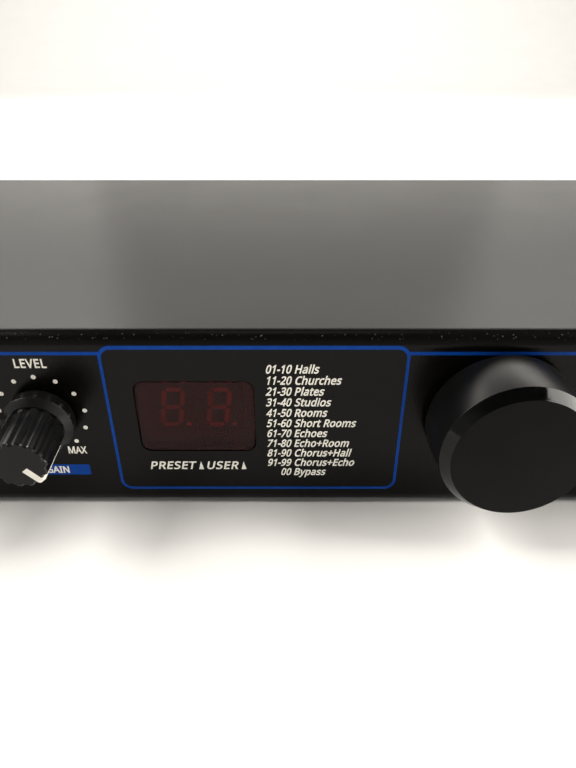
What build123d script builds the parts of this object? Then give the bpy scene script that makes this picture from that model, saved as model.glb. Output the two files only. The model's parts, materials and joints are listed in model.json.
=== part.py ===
from build123d import *
import os
from math import atan2, cos, degrees, pi, radians, sin, tan

# A one-unit, 19-inch rack effects processor, in millimetres.
# X runs along the front panel, Y from front to back and Z up.  Y = 0 is the back face of the front
# panel, which is the plane that bolts to the rack.  X = 0 and Z = 0 are the middle of the panel.

# ---- case -------------------------------------------------------------------------------------
SHEET = 1.6                  # thickness of the folded cover and front panel
THIN_SHEET = 1.2             # thickness of the chassis and the rear panel
PANEL_WIDTH = 482.6
PANEL_HEIGHT = 43.6
CASE_WIDTH = 435.0           # width between the ears
CASE_DEPTH = 150.0           # front face to rear face
BEND = 3.0                   # outer radius of the fold between panel and top
SIDE_BEND = 2.0              # outer radius of the fold down each side
RELIEF = 0.8                 # corner relief beside each end of the front folds
SIDE_FLANGE = 14.0           # height of the cover's side flanges
RETURN_FLANGE = 12.0         # how far the fold under the panel reaches back
RAIL_DEPTH = 10.0            # how far the rear rails reach forward from the rear face
UPPER_RAIL_HEIGHT = 8.0
LOWER_RAIL_HEIGHT = 5.4
RAIL_HALF_LENGTH = 205.0
EAR_CORNER = 2.0
RACK_SLOT_SPACING_X = 465.1
RACK_SLOT_SPACING_Z = 31.75
RACK_SLOT_LENGTH = 10.3
RACK_SLOT_WIDTH = 6.8

FRONT = -SHEET
REAR = CASE_DEPTH - SHEET
REAR_INSIDE = REAR - THIN_SHEET            # inner face of the rear panel
TOP = PANEL_HEIGHT / 2
BOTTOM = -TOP
CASE_SIDE = CASE_WIDTH / 2
WALL_SIDE = CASE_SIDE - SHEET            # outer face of the chassis side walls
FOLD_END = 3.0                           # where the front fold gives way to the flat top

# ---- fits and fasteners -----------------------------------------------------------------------
RUNNING_FIT = 0.06           # radial room of a shaft in its bushing
SEAT_FIT = 0.03              # radial room of a shaft in its knob
M3_SHANK = 1.45
M3_TAPPED = 1.5
M3_CLEARANCE = 1.7
FLAT_HEAD_RADIUS = 2.6
FLAT_HEAD_DEPTH = 1.1
PAN_HEAD_RADIUS = 2.75
PAN_HEAD_HEIGHT = 1.7

# ---- front controls ---------------------------------------------------------------------------
CONTROL_Z = 3.05             # height of every control's axis above the panel's middle
SMALL_KNOBS = {"input": (-112.0, -30.0), "mix": (-82.0, 40.0), "level": (-52.0, 140.0)}
SHAFT_RADIUS = 3.0
SHAFT_FLAT = 1.5             # distance of the D flat from the axis
BUSHING_RADIUS = 3.45
BUSHING_HOLE = 3.6
BUSHING_REACH = 3.6          # how far a bushing stands in front of the panel
CONTROL_NUT_SIZE = 9.5
CONTROL_NUT_HEIGHT = 2.0
CONTROL_WASHER_RADIUS = 5.3
CONTROL_WASHER_HEIGHT = 0.5

# small knob: heights are measured forward from the panel's front face
KNOB_BASE = 1.2
SKIRT_BASE_RADIUS = 7.0
SKIRT_RADIUS = 7.25
SKIRT_TOP = 4.2
SHOULDER_TOP = 5.5
GRIP_BASE_RADIUS = 5.7
GRIP_FACE_RADIUS = 5.4
GRIP_TOP = 16.4
GRIP_CHAMFER = 0.35
FLUTES = 14
FLUTE_RADIUS = 1.05
FLUTE_DEPTH = 0.42
KNOB_RECESS_RADIUS = 6.0
KNOB_RECESS_TOP = 4.0
POINTER_WIDTH = 1.3
POINTER_START = 1.4
POINTER_THICKNESS = 0.6
SMALL_SHAFT_TOP = 13.5

# programme knob
DIAL_X = 44.0
DIAL_BASE = 1.5
DIAL_BASE_RADIUS = 15.25
DIAL_RIM_RADIUS = 14.9
DIAL_RIM = 13.5
DIAL_TOP = 15.7
DIAL_FACE_RADIUS = 13.25
DIAL_WALL = 1.8
DIAL_HUB_RADIUS = 5.5
DIAL_HUB_BASE = 6.0
DIAL_RIBS = 6
DIAL_RIB_THICKNESS = 1.2
DIAL_SHAFT_TOP = 13.0

# display
WINDOW_X = -19.55
WINDOW_Z = 2.2
WINDOW_WIDTH = 24.6
WINDOW_HEIGHT = 17.2
WINDOW_CORNER = 2.0
WINDOW_GAP = 0.3
LENS_SET_BACK = 0.1
LENS_BORDER = 2.7
LENS_FLANGE = 1.2
DISPLAY_X = -20.25
DISPLAY_Z = 2.05
DISPLAY_FRONT = 3.4
DISPLAY_WIDTH = 20.1
DISPLAY_HEIGHT = 12.8
DIGIT_PITCH = 10.16
DIGIT_HEIGHT = 9.9
DIGIT_WIDTH = 5.0
DIGIT_STROKE = 1.0
DIGIT_SLANT = 8.0
SEGMENT_GAP = 0.16
SEGMENT_DEPTH = 1.2
POINT_RADIUS = 0.55

# push buttons
BUTTONS = {"bypass": 84.0, "edit": 104.0, "tap": 124.0, "store": 144.0}
BUTTON_WIDTH = 12.0
BUTTON_HEIGHT = 6.0
BUTTON_CORNER = 1.0
BUTTON_GAP = 0.3
BUTTON_REACH = 2.2
BUTTON_BORDER = 1.3
BUTTON_STEM_RADIUS = 1.6
BUTTON_STEM_END = 5.05
SWITCH_SIZE = 6.0
SWITCH_FRONT = 6.5
PLUNGER_FRONT = 5.6
PLUNGER_RADIUS = 1.7

# level meter: two columns of lights
METER_COLUMNS = (-186.0, -174.0)
METER_ROWS = (11.0, 5.0, -1.0, -7.0)
METER_RED_ROW = 11.0
LIGHT_RADIUS = 1.45
LIGHT_GAP = 0.1
LIGHT_REACH = 0.9

# power rocker
ROCKER_X = 190.0
ROCKER_PIVOT_Y = 1.5
ROCKER_TILT = 8.0
ROCKER_WIDTH = 10.6
ROCKER_HALF_HEIGHT = 8.8
ROCKER_FACE = -6.6           # the tips of the rocker's face, in front of its pivot
ROCKER_BACK = 2.0
ROCKER_DISH = 1.6            # depth of the V in the rocker's face
ROCKER_PIN_RADIUS = 1.0
ROCKER_PIN_LENGTH = 0.75
SWITCH_BODY_WIDTH = 12.8
SWITCH_BODY_HEIGHT = 19.4
SWITCH_BODY_END = 14.0
BEZEL_WIDTH = 15.4
BEZEL_HEIGHT = 22.0
BEZEL_THICKNESS = 1.8
SWITCH_CAVITY_WIDTH = 11.2
SWITCH_CAVITY_HEIGHT = 18.4
SWITCH_CAVITY_END = 5.0
CUTOUT_GAP = 0.2

# ---- boards -----------------------------------------------------------------------------------
BOARD = 1.6
FRONT_BOARD_Y = 10.0
FRONT_BOARD = (-194.0, 162.0, -12.0, 18.5)            # X from, X to, Z from, Z to
POST_X = (-148.0, 16.0, 157.0)
POST_Z = (-8.0, 14.0)
POST_RADIUS = 2.75
STANDOFF_HEIGHT = 6.0
STANDOFF_RADIUS = 3.0
MAIN_BOARD = (-204.0, 204.0, 22.0, 146.0)             # X from, X to, Y from, Y to
STANDOFF_X = (-198.0, 0.0, 198.0)
STANDOFF_Y = (28.0, 112.0)
FLOOR_TOP = BOTTOM + THIN_SHEET
MAIN_BOARD_Z = FLOOR_TOP + STANDOFF_HEIGHT
BOARD_TOP = MAIN_BOARD_Z + BOARD

# ---- rear connectors --------------------------------------------------------------------------
JACKS = (-190.0, -166.0, -130.0, -106.0, -70.0, -46.0)
JACK_RISE = 8.5              # height of the jack's axis above the board
JACK_BORE = 3.25
JACK_BUSHING = 4.7
JACK_HOLE = 4.85
JACK_REACH = 5.0
JACK_BODY = 15.6
JACK_DEPTH = 26.0
JACK_BORE_DEPTH = 23.0
JACK_NUT_SIZE = 12.7
JACK_NUT_HEIGHT = 2.4
JACK_WASHER_RADIUS = 7.2
JACK_WASHER_HEIGHT = 0.7
DATA_SOCKETS = (10.0, 45.0)
DATA_RISE = 10.0
DATA_RADIUS = 7.7
DATA_HOLE = 7.9
DATA_GROOVE = (6.1, 7.0)
DATA_GROOVE_DEPTH = 7.0
DATA_CONTACT_CIRCLE = 4.5
DATA_CONTACT_RADIUS = 0.8
DATA_REACH = 0.4             # how far the socket's face stands behind the rear panel
DATA_FLANGE = (2.0, 28.0)    # depth and width
DATA_BODY = (12.0, 19.0)     # depth and width
DATA_CONTACT_BORE = 0.5
CONTACT_FIT = 0.02
CONTACT_SET_BACK = 0.6
DATA_SCREW_OFFSET = 11.2
DATA_SCREW_LENGTH = 4.5
INLET_X = 190.0
INLET_RISE = 5.5
INLET_BORE = 2.85
INLET_PIN = 1.0
INLET_BOSS = 4.0
INLET_REACH = 0.3
INLET_BODY = (9.5, 14.0)     # width and depth
INLET_BORE_DEPTH = 9.5
INLET_PIN_SET_BACK = 0.7

# ---- board components -------------------------------------------------------------------------
PROCESSOR = (30.0, 76.0, 24.0, 3.0)                   # X, Y, side, height
CHIP_SIZE = (20.0, 7.0, 3.6)
CHIP_PLACES = [(x, y) for x in (-150.0, -110.0, -70.0, -30.0, 80.0) for y in (62.0, 92.0)]
CAPACITOR_PLACES = [(x, 42.0) for x in (-176.0, -140.0, -104.0, -68.0, -32.0, 140.0, 156.0)]
CAPACITOR_RADIUS = 5.0
CAPACITOR_HEIGHT = 13.0
HEAT_SINK = (165.0, 80.0)
HEAT_SINK_WIDTH = 36.0
HEAT_SINK_HEIGHT = 22.0
HEAT_SINK_BASE = 3.0
FINS = 7
FIN_THICKNESS = 1.5
FIN_LENGTH = 11.0
REGULATORS = (-9.0, 9.0)     # offsets from the middle of the heat sink
REGULATOR_WIDTH = 10.0
REGULATOR_THICKNESS = 4.5
REGULATOR_HEIGHT = 9.0
REGULATOR_RISE = 4.0
TAB_THICKNESS = 1.3
TAB_HEIGHT = 15.0
CRYSTAL = (58.0, 76.0)
CRYSTAL_SIZE = (11.0, 4.6, 3.6)
RIBBON_X = 90.0
RIBBON_WIDTH = 25.4
RIBBON_THICKNESS = 0.9
RIBBON_START_Z = 3.0
RIBBON_END_Y = 45.0
RIBBON_BEND = 5.0
HEADER_LENGTH = 28.0
HEADER_WIDTH = 6.0
HEADER_HEIGHT = 9.0


# ---- general shapes ---------------------------------------------------------------------------
def save(name, *solids):
    """Write one node; several separate pieces share a node as a group."""
    shape = solids[0] if len(solids) == 1 else Compound(children=list(solids))
    shape.label = name
    export_step(shape, os.path.join("parts", name + ".step"))


def block(x0, x1, y0, y1, z0, z1):
    return Pos((x0 + x1) / 2, (y0 + y1) / 2, (z0 + z1) / 2) * Box(x1 - x0, y1 - y0, z1 - z0)


def rod_y(x, z, radius, y0, y1):
    return Pos(x, (y0 + y1) / 2, z) * Rot(X=90) * Cylinder(radius, y1 - y0)


def rod_z(x, y, radius, z0, z1):
    return Pos(x, y, (z0 + z1) / 2) * Cylinder(radius, z1 - z0)


def rod_up(radius, z0, z1):
    return rod_z(0, 0, radius, z0, z1)


def plate(x, z, width, height, corner, y0, y1):
    """A rounded rectangle in the panel's plane, from y0 back to y1."""
    outline = Pos(x, z) * RectangleRounded(width, height, corner)
    return extrude(Plane.XZ.offset(-y1) * outline, y1 - y0)


def side_profile(points, x0, x1):
    """Extrude an outline of (Y, Z) points from x0 to x1."""
    return extrude(Plane.YZ.offset(x0) * make_face(Polyline(*points, close=True)), x1 - x0)


def turned(points):
    """Turn an outline of (radius, height) points about the Z axis."""
    return revolve(Plane.XZ * make_face(Polyline(*points, close=True)), Axis.Z)


def on_front(shape, x, z, turn=0.0):
    """Stand a shape, built with its axis up from Z = 0, on the front face; turn is clockwise."""
    return Pos(x, FRONT, z) * Rot(X=90) * Rot(Z=-turn) * shape


def on_rear(shape, x, z):
    return Pos(x, REAR, z) * Rot(X=-90) * shape


def tube(outer, inner, z0, z1):
    return rod_up(outer, z0, z1) - rod_up(inner, z0 - 1, z1 + 1)


def hex_nut(size, bore, z0, z1):
    blank = extrude(Pos(0, 0, z0) * RegularPolygon(size / 2, 6, major_radius=False), z1 - z0)
    return blank - rod_up(bore, z0 - 1, z1 + 1)


# ---- fasteners: the head's outer face or its seat is at Z = 0, the shank points down -------------
def cross_recess(top, depth):
    slot = Pos(0, 0, top) * Box(2.8, 0.7, 2 * depth)
    return slot + Rot(Z=90) * slot


def flat_screw(length):
    head = Pos(0, 0, -FLAT_HEAD_DEPTH / 2) * Cone(M3_SHANK, FLAT_HEAD_RADIUS, FLAT_HEAD_DEPTH)
    return head + rod_up(M3_SHANK, -length, -FLAT_HEAD_DEPTH) - cross_recess(0, 0.8)


def flat_hole(bore):
    gap = 0.05
    cone = Pos(0, 0, -FLAT_HEAD_DEPTH / 2)
    cone *= Cone(M3_SHANK + gap, FLAT_HEAD_RADIUS + gap, FLAT_HEAD_DEPTH)
    return cone + rod_up(bore, -4, 0)


def pan_screw(length):
    head = rod_up(PAN_HEAD_RADIUS, 0, PAN_HEAD_HEIGHT)
    head = fillet(head.edges().sort_by(Axis.Z)[-1], 0.9)
    return head + rod_up(M3_SHANK, -length, 0) - cross_recess(PAN_HEAD_HEIGHT, 1.0)


# ---- places shared by more than one piece -------------------------------------------------------
TOP_SCREWS = [(x, REAR - 5.4) for x in (-150.0, 150.0)]
FRONT_BASE_SCREWS = [(x, 7.5) for x in (-190.0, -64.0, 64.0, 190.0)]
REAR_BASE_SCREWS = [(x, REAR - 5.4) for x in (-150.0, 0.0, 150.0)]
SIDE_SCREWS = [(side, y) for side in (-1, 1) for y in (35.0, 118.0)]
SIDE_SCREW_Z = 14.5
POSTS = [(x, z) for x in POST_X for z in POST_Z]
STANDOFFS = [(x, y) for x in STANDOFF_X for y in STANDOFF_Y]
KNOB_AXES = [x for x, _ in SMALL_KNOBS.values()]
JACK_Z = BOARD_TOP + JACK_RISE
DATA_Z = BOARD_TOP + DATA_RISE
INLET_Z = BOARD_TOP + INLET_RISE


# ---- case ---------------------------------------------------------------------------------------
def front_fold():
    """Panel, upper fold and return flange, as one bent strip between the corner reliefs."""
    end = RETURN_FLANGE
    outline = Polyline((end, BOTTOM), (FRONT, BOTTOM), (FRONT, TOP), (FOLD_END, TOP),
                       (FOLD_END, TOP - SHEET), (0, TOP - SHEET), (0, BOTTOM + SHEET),
                       (end, BOTTOM + SHEET), close=True)
    face = make_face(outline)
    inner = [v for v in face.vertices() if abs(v.X) < 0.01]
    face = fillet(inner, BEND - SHEET)
    outer = [v for v in face.vertices() if abs(v.X - FRONT) < 0.01]
    face = fillet(outer, BEND)
    half = CASE_SIDE - RELIEF
    return extrude(Plane.YZ.offset(-half) * face, 2 * half)


def top_with_sides():
    low = TOP - SIDE_FLANGE
    outline = Polyline((-CASE_SIDE, low), (-CASE_SIDE, TOP), (CASE_SIDE, TOP), (CASE_SIDE, low),
                       (WALL_SIDE, low), (WALL_SIDE, TOP - SHEET), (-WALL_SIDE, TOP - SHEET),
                       (-WALL_SIDE, low), close=True)
    face = make_face(outline)
    inner = [v for v in face.vertices() if abs(v.Y - TOP + SHEET) < 0.01]
    face = fillet(inner, SIDE_BEND - SHEET)
    outer = [v for v in face.vertices() if abs(v.Y - TOP) < 0.01]
    face = fillet(outer, SIDE_BEND)
    return extrude(Plane.XZ.offset(-REAR) * face, REAR - FOLD_END)


def ears():
    flat = block(-PANEL_WIDTH / 2, PANEL_WIDTH / 2, FRONT, 0, BOTTOM + BEND, TOP - BEND)
    for side in (-1, 1):
        edges = sorted((side * CASE_SIDE, side * PANEL_WIDTH / 2))
        ear = block(edges[0], edges[1], FRONT, 0, BOTTOM, TOP)
        corners = ear.edges().filter_by(Axis.Y).filter_by(lambda e: abs(e.center().X) > CASE_SIDE + 1)
        flat += fillet(corners, EAR_CORNER)
        for level in (-1, 1):
            place = Pos(side * RACK_SLOT_SPACING_X / 2, level * RACK_SLOT_SPACING_Z / 2)
            slot = place * SlotOverall(RACK_SLOT_LENGTH, RACK_SLOT_WIDTH)
            flat -= extrude(Plane.XZ.offset(-1) * slot, SHEET + 2)
    return flat


def wrap_cover():
    cover = front_fold() + top_with_sides() + ears()
    for x in KNOB_AXES + [DIAL_X]:
        cover -= rod_y(x, CONTROL_Z, BUSHING_HOLE, FRONT - 1, 1)
    cover -= plate(WINDOW_X, WINDOW_Z, WINDOW_WIDTH + 2 * WINDOW_GAP, WINDOW_HEIGHT + 2 * WINDOW_GAP,
                   WINDOW_CORNER + WINDOW_GAP, FRONT - 1, 1)
    for x in BUTTONS.values():
        cover -= plate(x, CONTROL_Z, BUTTON_WIDTH + 2 * BUTTON_GAP, BUTTON_HEIGHT + 2 * BUTTON_GAP,
                       BUTTON_CORNER + BUTTON_GAP, FRONT - 1, 1)
    for x in METER_COLUMNS:
        for z in METER_ROWS:
            cover -= rod_y(x, z, LIGHT_RADIUS + LIGHT_GAP, FRONT - 1, 1)
    half_width = SWITCH_BODY_WIDTH / 2 + CUTOUT_GAP
    half_height = SWITCH_BODY_HEIGHT / 2 + CUTOUT_GAP
    cover -= block(ROCKER_X - half_width, ROCKER_X + half_width, FRONT - 1, 1,
                   CONTROL_Z - half_height, CONTROL_Z + half_height)
    for x, y in TOP_SCREWS:
        cover -= Pos(x, y, TOP) * flat_hole(M3_CLEARANCE)
    for x, y in FRONT_BASE_SCREWS:
        cover -= Pos(x, y, BOTTOM) * Rot(X=180) * flat_hole(M3_CLEARANCE)
    for side, y in SIDE_SCREWS:
        cover -= Pos(side * CASE_SIDE, y, SIDE_SCREW_Z) * Rot(Y=90) * Cylinder(M3_CLEARANCE, 5)
    return cover


def base_chassis():
    """Base plate, stepped to lap over the return flange, with a wall up each side."""
    lap_end = RETURN_FLANGE + 1.2
    step = SHEET
    lap = BOTTOM + SHEET
    outline = [(2.0, lap), (lap_end, lap), (lap_end + step, BOTTOM), (REAR, BOTTOM), (REAR, FLOOR_TOP),
               (lap_end + step + 0.5, FLOOR_TOP), (lap_end + 0.5, lap + THIN_SHEET),
               (2.0, lap + THIN_SHEET)]
    chassis = side_profile(outline, -WALL_SIDE, WALL_SIDE)
    wall_top = TOP - SHEET - 0.4
    for side in (-1, 1):
        faces = sorted((side * WALL_SIDE, side * (WALL_SIDE - THIN_SHEET)))
        chassis += block(faces[0], faces[1], 2.0, REAR, lap, wall_top)
        chassis += block(faces[0], faces[1], lap_end + step, REAR, BOTTOM, lap)
    for x, y in FRONT_BASE_SCREWS:
        chassis -= rod_z(x, y, M3_TAPPED, BOTTOM, 0)
    for x, y in REAR_BASE_SCREWS:
        chassis -= Pos(x, y, BOTTOM) * Rot(X=180) * flat_hole(M3_TAPPED)
    for side, y in SIDE_SCREWS:
        chassis -= Pos(side * WALL_SIDE, y, SIDE_SCREW_Z) * Rot(Y=90) * Cylinder(M3_TAPPED, 5)
    return chassis


def rear_panel():
    """Flat plate between the side walls, with a hole for every connector."""
    half = WALL_SIDE - THIN_SHEET - 0.1
    panel = block(-half, half, REAR_INSIDE, REAR, FLOOR_TOP, TOP - SHEET)
    for x in JACKS:
        panel -= rod_y(x, JACK_Z, JACK_HOLE, REAR_INSIDE - 1, REAR + 1)
    for x in DATA_SOCKETS:
        panel -= rod_y(x, DATA_Z, DATA_HOLE, REAR_INSIDE - 1, REAR + 1)
        for offset in (-DATA_SCREW_OFFSET, DATA_SCREW_OFFSET):
            panel -= rod_y(x + offset, DATA_Z, M3_CLEARANCE, REAR_INSIDE - 1, REAR + 1)
    return panel - rod_y(INLET_X, INLET_Z, INLET_BOSS + CUTOUT_GAP, REAR_INSIDE - 1, REAR + 1)


def rear_rails():
    """Two angle strips welded to the rear panel's inner face, tapped for the cover and base screws."""
    front = REAR - RAIL_DEPTH
    web = REAR_INSIDE - THIN_SHEET
    top = TOP - SHEET
    upper = side_profile([(front, top), (REAR_INSIDE, top), (REAR_INSIDE, top - UPPER_RAIL_HEIGHT),
                          (web, top - UPPER_RAIL_HEIGHT), (web, top - THIN_SHEET),
                          (front, top - THIN_SHEET)], -RAIL_HALF_LENGTH, RAIL_HALF_LENGTH)
    low = FLOOR_TOP
    lower = side_profile([(front, low), (REAR_INSIDE, low), (REAR_INSIDE, low + LOWER_RAIL_HEIGHT),
                          (web, low + LOWER_RAIL_HEIGHT), (web, low + THIN_SHEET),
                          (front, low + THIN_SHEET)], -RAIL_HALF_LENGTH, RAIL_HALF_LENGTH)
    for x, y in TOP_SCREWS:
        upper -= rod_z(x, y, M3_TAPPED, 0, TOP)
    for x, y in REAR_BASE_SCREWS:
        lower -= rod_z(x, y, M3_TAPPED, BOTTOM, 0)
    return [upper, lower]


def cover_screws():
    screws = [Pos(x, y, TOP) * flat_screw(6.0) for x, y in TOP_SCREWS]
    for side, y in SIDE_SCREWS:
        place = Pos(side * CASE_SIDE, y, SIDE_SCREW_Z)
        screws.append(place * Rot(Y=side * 90) * pan_screw(5.5))
    return screws


def base_screws():
    places = FRONT_BASE_SCREWS + REAR_BASE_SCREWS
    return [Pos(x, y, BOTTOM) * Rot(X=180) * flat_screw(6.0) for x, y in places]


# ---- display --------------------------------------------------------------------------------------
def display_lens():
    boss = plate(WINDOW_X, WINDOW_Z, WINDOW_WIDTH, WINDOW_HEIGHT, WINDOW_CORNER,
                 FRONT + LENS_SET_BACK, 0)
    flange = plate(WINDOW_X, WINDOW_Z, WINDOW_WIDTH + 2 * LENS_BORDER, WINDOW_HEIGHT + 2 * LENS_BORDER,
                   WINDOW_CORNER, 0, LENS_FLANGE)
    return boss + flange


def bar_points(x0, z0, x1, z1):
    """Outline of one segment: a bar with pointed ends from one corner of the digit to the next."""
    half = DIGIT_STROKE / 2
    length = ((x1 - x0) ** 2 + (z1 - z0) ** 2) ** 0.5
    along = ((x1 - x0) / length, (z1 - z0) / length)
    tip = length / 2 - SEGMENT_GAP
    outline = [(-tip, 0), (half - tip, half), (tip - half, half), (tip, 0), (tip - half, -half),
               (half - tip, -half)]
    for u, v in outline:
        yield ((x0 + x1) / 2 + u * along[0] - v * along[1],
               (z0 + z1) / 2 + u * along[1] + v * along[0])


def slanted(points, x, z):
    """Lean an outline by the digit's slant and move it to its place on the panel."""
    lean = tan(radians(DIGIT_SLANT))
    return make_face(Polyline(*[(x + u + lean * v, z + v) for u, v in points], close=True))


def segment_faces():
    w = (DIGIT_WIDTH - DIGIT_STROKE) / 2
    h = (DIGIT_HEIGHT - DIGIT_STROKE) / 2
    corners = [(-w, h), (w, h), (-w, 0), (w, 0), (-w, -h), (w, -h)]
    links = [(0, 1), (2, 3), (4, 5), (0, 2), (2, 4), (1, 3), (3, 5)]
    faces = []
    for side in (-0.5, 0.5):
        x = DISPLAY_X + side * DIGIT_PITCH
        for start, end in links:
            faces.append(slanted(bar_points(*corners[start], *corners[end]), x, DISPLAY_Z))
        lean = tan(radians(DIGIT_SLANT)) * h
        faces.append(Pos(x + w + 1.9 - lean, DISPLAY_Z - h) * Circle(POINT_RADIUS))
    return faces


def display_segments():
    plane = Plane.XZ.offset(-DISPLAY_FRONT - SEGMENT_DEPTH)
    return [extrude(plane * face, SEGMENT_DEPTH) for face in segment_faces()]


def display_housing(segments):
    housing = plate(DISPLAY_X, DISPLAY_Z, DISPLAY_WIDTH, DISPLAY_HEIGHT, 0.4, DISPLAY_FRONT,
                    FRONT_BOARD_Y)
    for segment in segments:
        housing -= segment
    return housing


# ---- knobs, shafts and the parts that carry them ---------------------------------------------------
def shaft(radius, top, room=0.0):
    """A D shaft from inside its body to the top; room widens it into the bore that it fits."""
    low = -SHEET - 3.0
    flat_from = KNOB_RECESS_TOP if room == 0 else -1.0
    rod = rod_up(radius + room, low, top + room)
    return rod - Pos(0, -SHAFT_FLAT - room - 5, (flat_from + top + 2) / 2) * Box(
        20, 10, top + 2 - flat_from)


def small_knob_pointer():
    """White inlay: a bar on the face that runs over the rim and down one rib to the shoulder."""
    face_top = GRIP_TOP
    outline = [(POINTER_START, face_top), (GRIP_FACE_RADIUS - GRIP_CHAMFER, face_top),
               (GRIP_FACE_RADIUS, face_top - GRIP_CHAMFER), (GRIP_BASE_RADIUS, SHOULDER_TOP + 0.3),
               (GRIP_BASE_RADIUS - POINTER_THICKNESS, SHOULDER_TOP + 0.3),
               (GRIP_FACE_RADIUS - POINTER_THICKNESS, face_top - POINTER_THICKNESS),
               (POINTER_START, face_top - POINTER_THICKNESS)]
    face = Plane.YZ.offset(-POINTER_WIDTH / 2) * make_face(Polyline(*outline, close=True))
    return extrude(face, POINTER_WIDTH)


def small_knob(pointer):
    outline = [(0, KNOB_BASE), (SKIRT_BASE_RADIUS, KNOB_BASE), (SKIRT_RADIUS, SKIRT_TOP - 0.3),
               (SKIRT_RADIUS - 0.35, SKIRT_TOP + 0.1), (GRIP_BASE_RADIUS + 0.25, SHOULDER_TOP),
               (GRIP_BASE_RADIUS, SHOULDER_TOP + 0.3), (GRIP_FACE_RADIUS, GRIP_TOP - GRIP_CHAMFER),
               (GRIP_FACE_RADIUS - GRIP_CHAMFER, GRIP_TOP), (0, GRIP_TOP)]
    knob = turned(outline)
    taper = degrees(atan2(GRIP_BASE_RADIUS - GRIP_FACE_RADIUS, GRIP_TOP - SHOULDER_TOP))
    reach = GRIP_BASE_RADIUS - FLUTE_DEPTH + FLUTE_RADIUS
    cutter = Pos(reach, 0, SHOULDER_TOP + 0.3) * Rot(Y=-taper)
    cutter *= Cylinder(FLUTE_RADIUS, GRIP_TOP, align=(Align.CENTER, Align.CENTER, Align.MIN))
    for i in range(FLUTES):
        knob -= Rot(Z=90 + (i + 0.5) * 360 / FLUTES) * cutter
    knob -= rod_up(KNOB_RECESS_RADIUS, 0, KNOB_RECESS_TOP)
    knob -= shaft(SHAFT_RADIUS, SMALL_SHAFT_TOP, SEAT_FIT)
    return knob - pointer


def control_body(width, height, depth):
    """Body of a potentiometer or encoder behind the panel, with its bushing through the panel."""
    body = Pos(0, 0, -SHEET - depth / 2) * Box(width, height, depth)
    body += rod_up(BUSHING_RADIUS, -SHEET, BUSHING_REACH)
    return body - rod_up(SHAFT_RADIUS + RUNNING_FIT, -SHEET - 3.2, BUSHING_REACH + 1)


def control_washer():
    return tube(CONTROL_WASHER_RADIUS, BUSHING_HOLE, 0, CONTROL_WASHER_HEIGHT)


def control_nut():
    base = CONTROL_WASHER_HEIGHT
    return hex_nut(CONTROL_NUT_SIZE, BUSHING_RADIUS + 0.05, base, base + CONTROL_NUT_HEIGHT)


def program_knob():
    outline = [(0, DIAL_BASE), (DIAL_BASE_RADIUS, DIAL_BASE), (DIAL_RIM_RADIUS, DIAL_RIM),
               (DIAL_FACE_RADIUS, DIAL_TOP), (0, DIAL_TOP)]
    knob = turned(outline)
    ceiling = DIAL_RIM - 0.3
    inner = DIAL_RIM_RADIUS - DIAL_WALL
    knob -= rod_up(inner, 0, ceiling)
    knob += rod_up(DIAL_HUB_RADIUS, DIAL_HUB_BASE, ceiling)
    for i in range(DIAL_RIBS):
        span = Pos((DIAL_HUB_RADIUS + inner) / 2, 0, (DIAL_HUB_BASE + 2 + ceiling) / 2)
        span *= Box(inner - DIAL_HUB_RADIUS + 1, DIAL_RIB_THICKNESS, ceiling - DIAL_HUB_BASE - 2)
        knob += Rot(Z=i * 360 / DIAL_RIBS) * span
    return knob - shaft(SHAFT_RADIUS, DIAL_SHAFT_TOP, SEAT_FIT)


# ---- buttons and lights ------------------------------------------------------------------------------
def button(x):
    cap = plate(x, CONTROL_Z, BUTTON_WIDTH, BUTTON_HEIGHT, BUTTON_CORNER, FRONT - BUTTON_REACH, 0.3)
    cap = fillet(cap.faces().sort_by(Axis.Y)[0].edges(), 0.5)
    cap += plate(x, CONTROL_Z, BUTTON_WIDTH + 2 * BUTTON_BORDER, BUTTON_HEIGHT + 2 * BUTTON_BORDER,
                 BUTTON_CORNER, 0.3, 1.3)
    return cap + rod_y(x, CONTROL_Z, BUTTON_STEM_RADIUS, 1.3, BUTTON_STEM_END)


def tact_switch(x):
    half = SWITCH_SIZE / 2
    body = block(x - half, x + half, SWITCH_FRONT, FRONT_BOARD_Y, CONTROL_Z - half, CONTROL_Z + half)
    return body + rod_y(x, CONTROL_Z, PLUNGER_RADIUS, PLUNGER_FRONT, SWITCH_FRONT)


def meter_light(x, z):
    """A clear rod with a domed end that stands a little proud of the panel."""
    rod = rod_y(x, z, LIGHT_RADIUS, FRONT - LIGHT_REACH, FRONT_BOARD_Y)
    return fillet(rod.edges().sort_by(Axis.Y)[0], LIGHT_REACH - 0.1)


def meter_lights(red):
    rows = [z for z in METER_ROWS if (z == METER_RED_ROW) == red]
    return [meter_light(x, z) for x in METER_COLUMNS for z in rows]


# ---- power switch ---------------------------------------------------------------------------------------
def power_rocker():
    """Rocker with a shallow V face, tilted to its off position about its two short pins."""
    upper = [(ROCKER_FACE, ROCKER_HALF_HEIGHT - 0.8), (ROCKER_FACE + 4.1, ROCKER_HALF_HEIGHT),
             (ROCKER_FACE + 6.1, ROCKER_HALF_HEIGHT - 0.2), (ROCKER_BACK, ROCKER_HALF_HEIGHT - 4.8)]
    lower = [(y, -z) for y, z in reversed(upper)]
    outline = upper + lower + [(ROCKER_FACE + ROCKER_DISH, 0.0)]
    rocker = side_profile(outline, -ROCKER_WIDTH / 2, ROCKER_WIDTH / 2)
    rocker += Rot(Y=90) * Cylinder(ROCKER_PIN_RADIUS, ROCKER_WIDTH + 2 * ROCKER_PIN_LENGTH)
    return Pos(ROCKER_X, ROCKER_PIVOT_Y, CONTROL_Z) * Rot(X=ROCKER_TILT) * rocker


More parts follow.
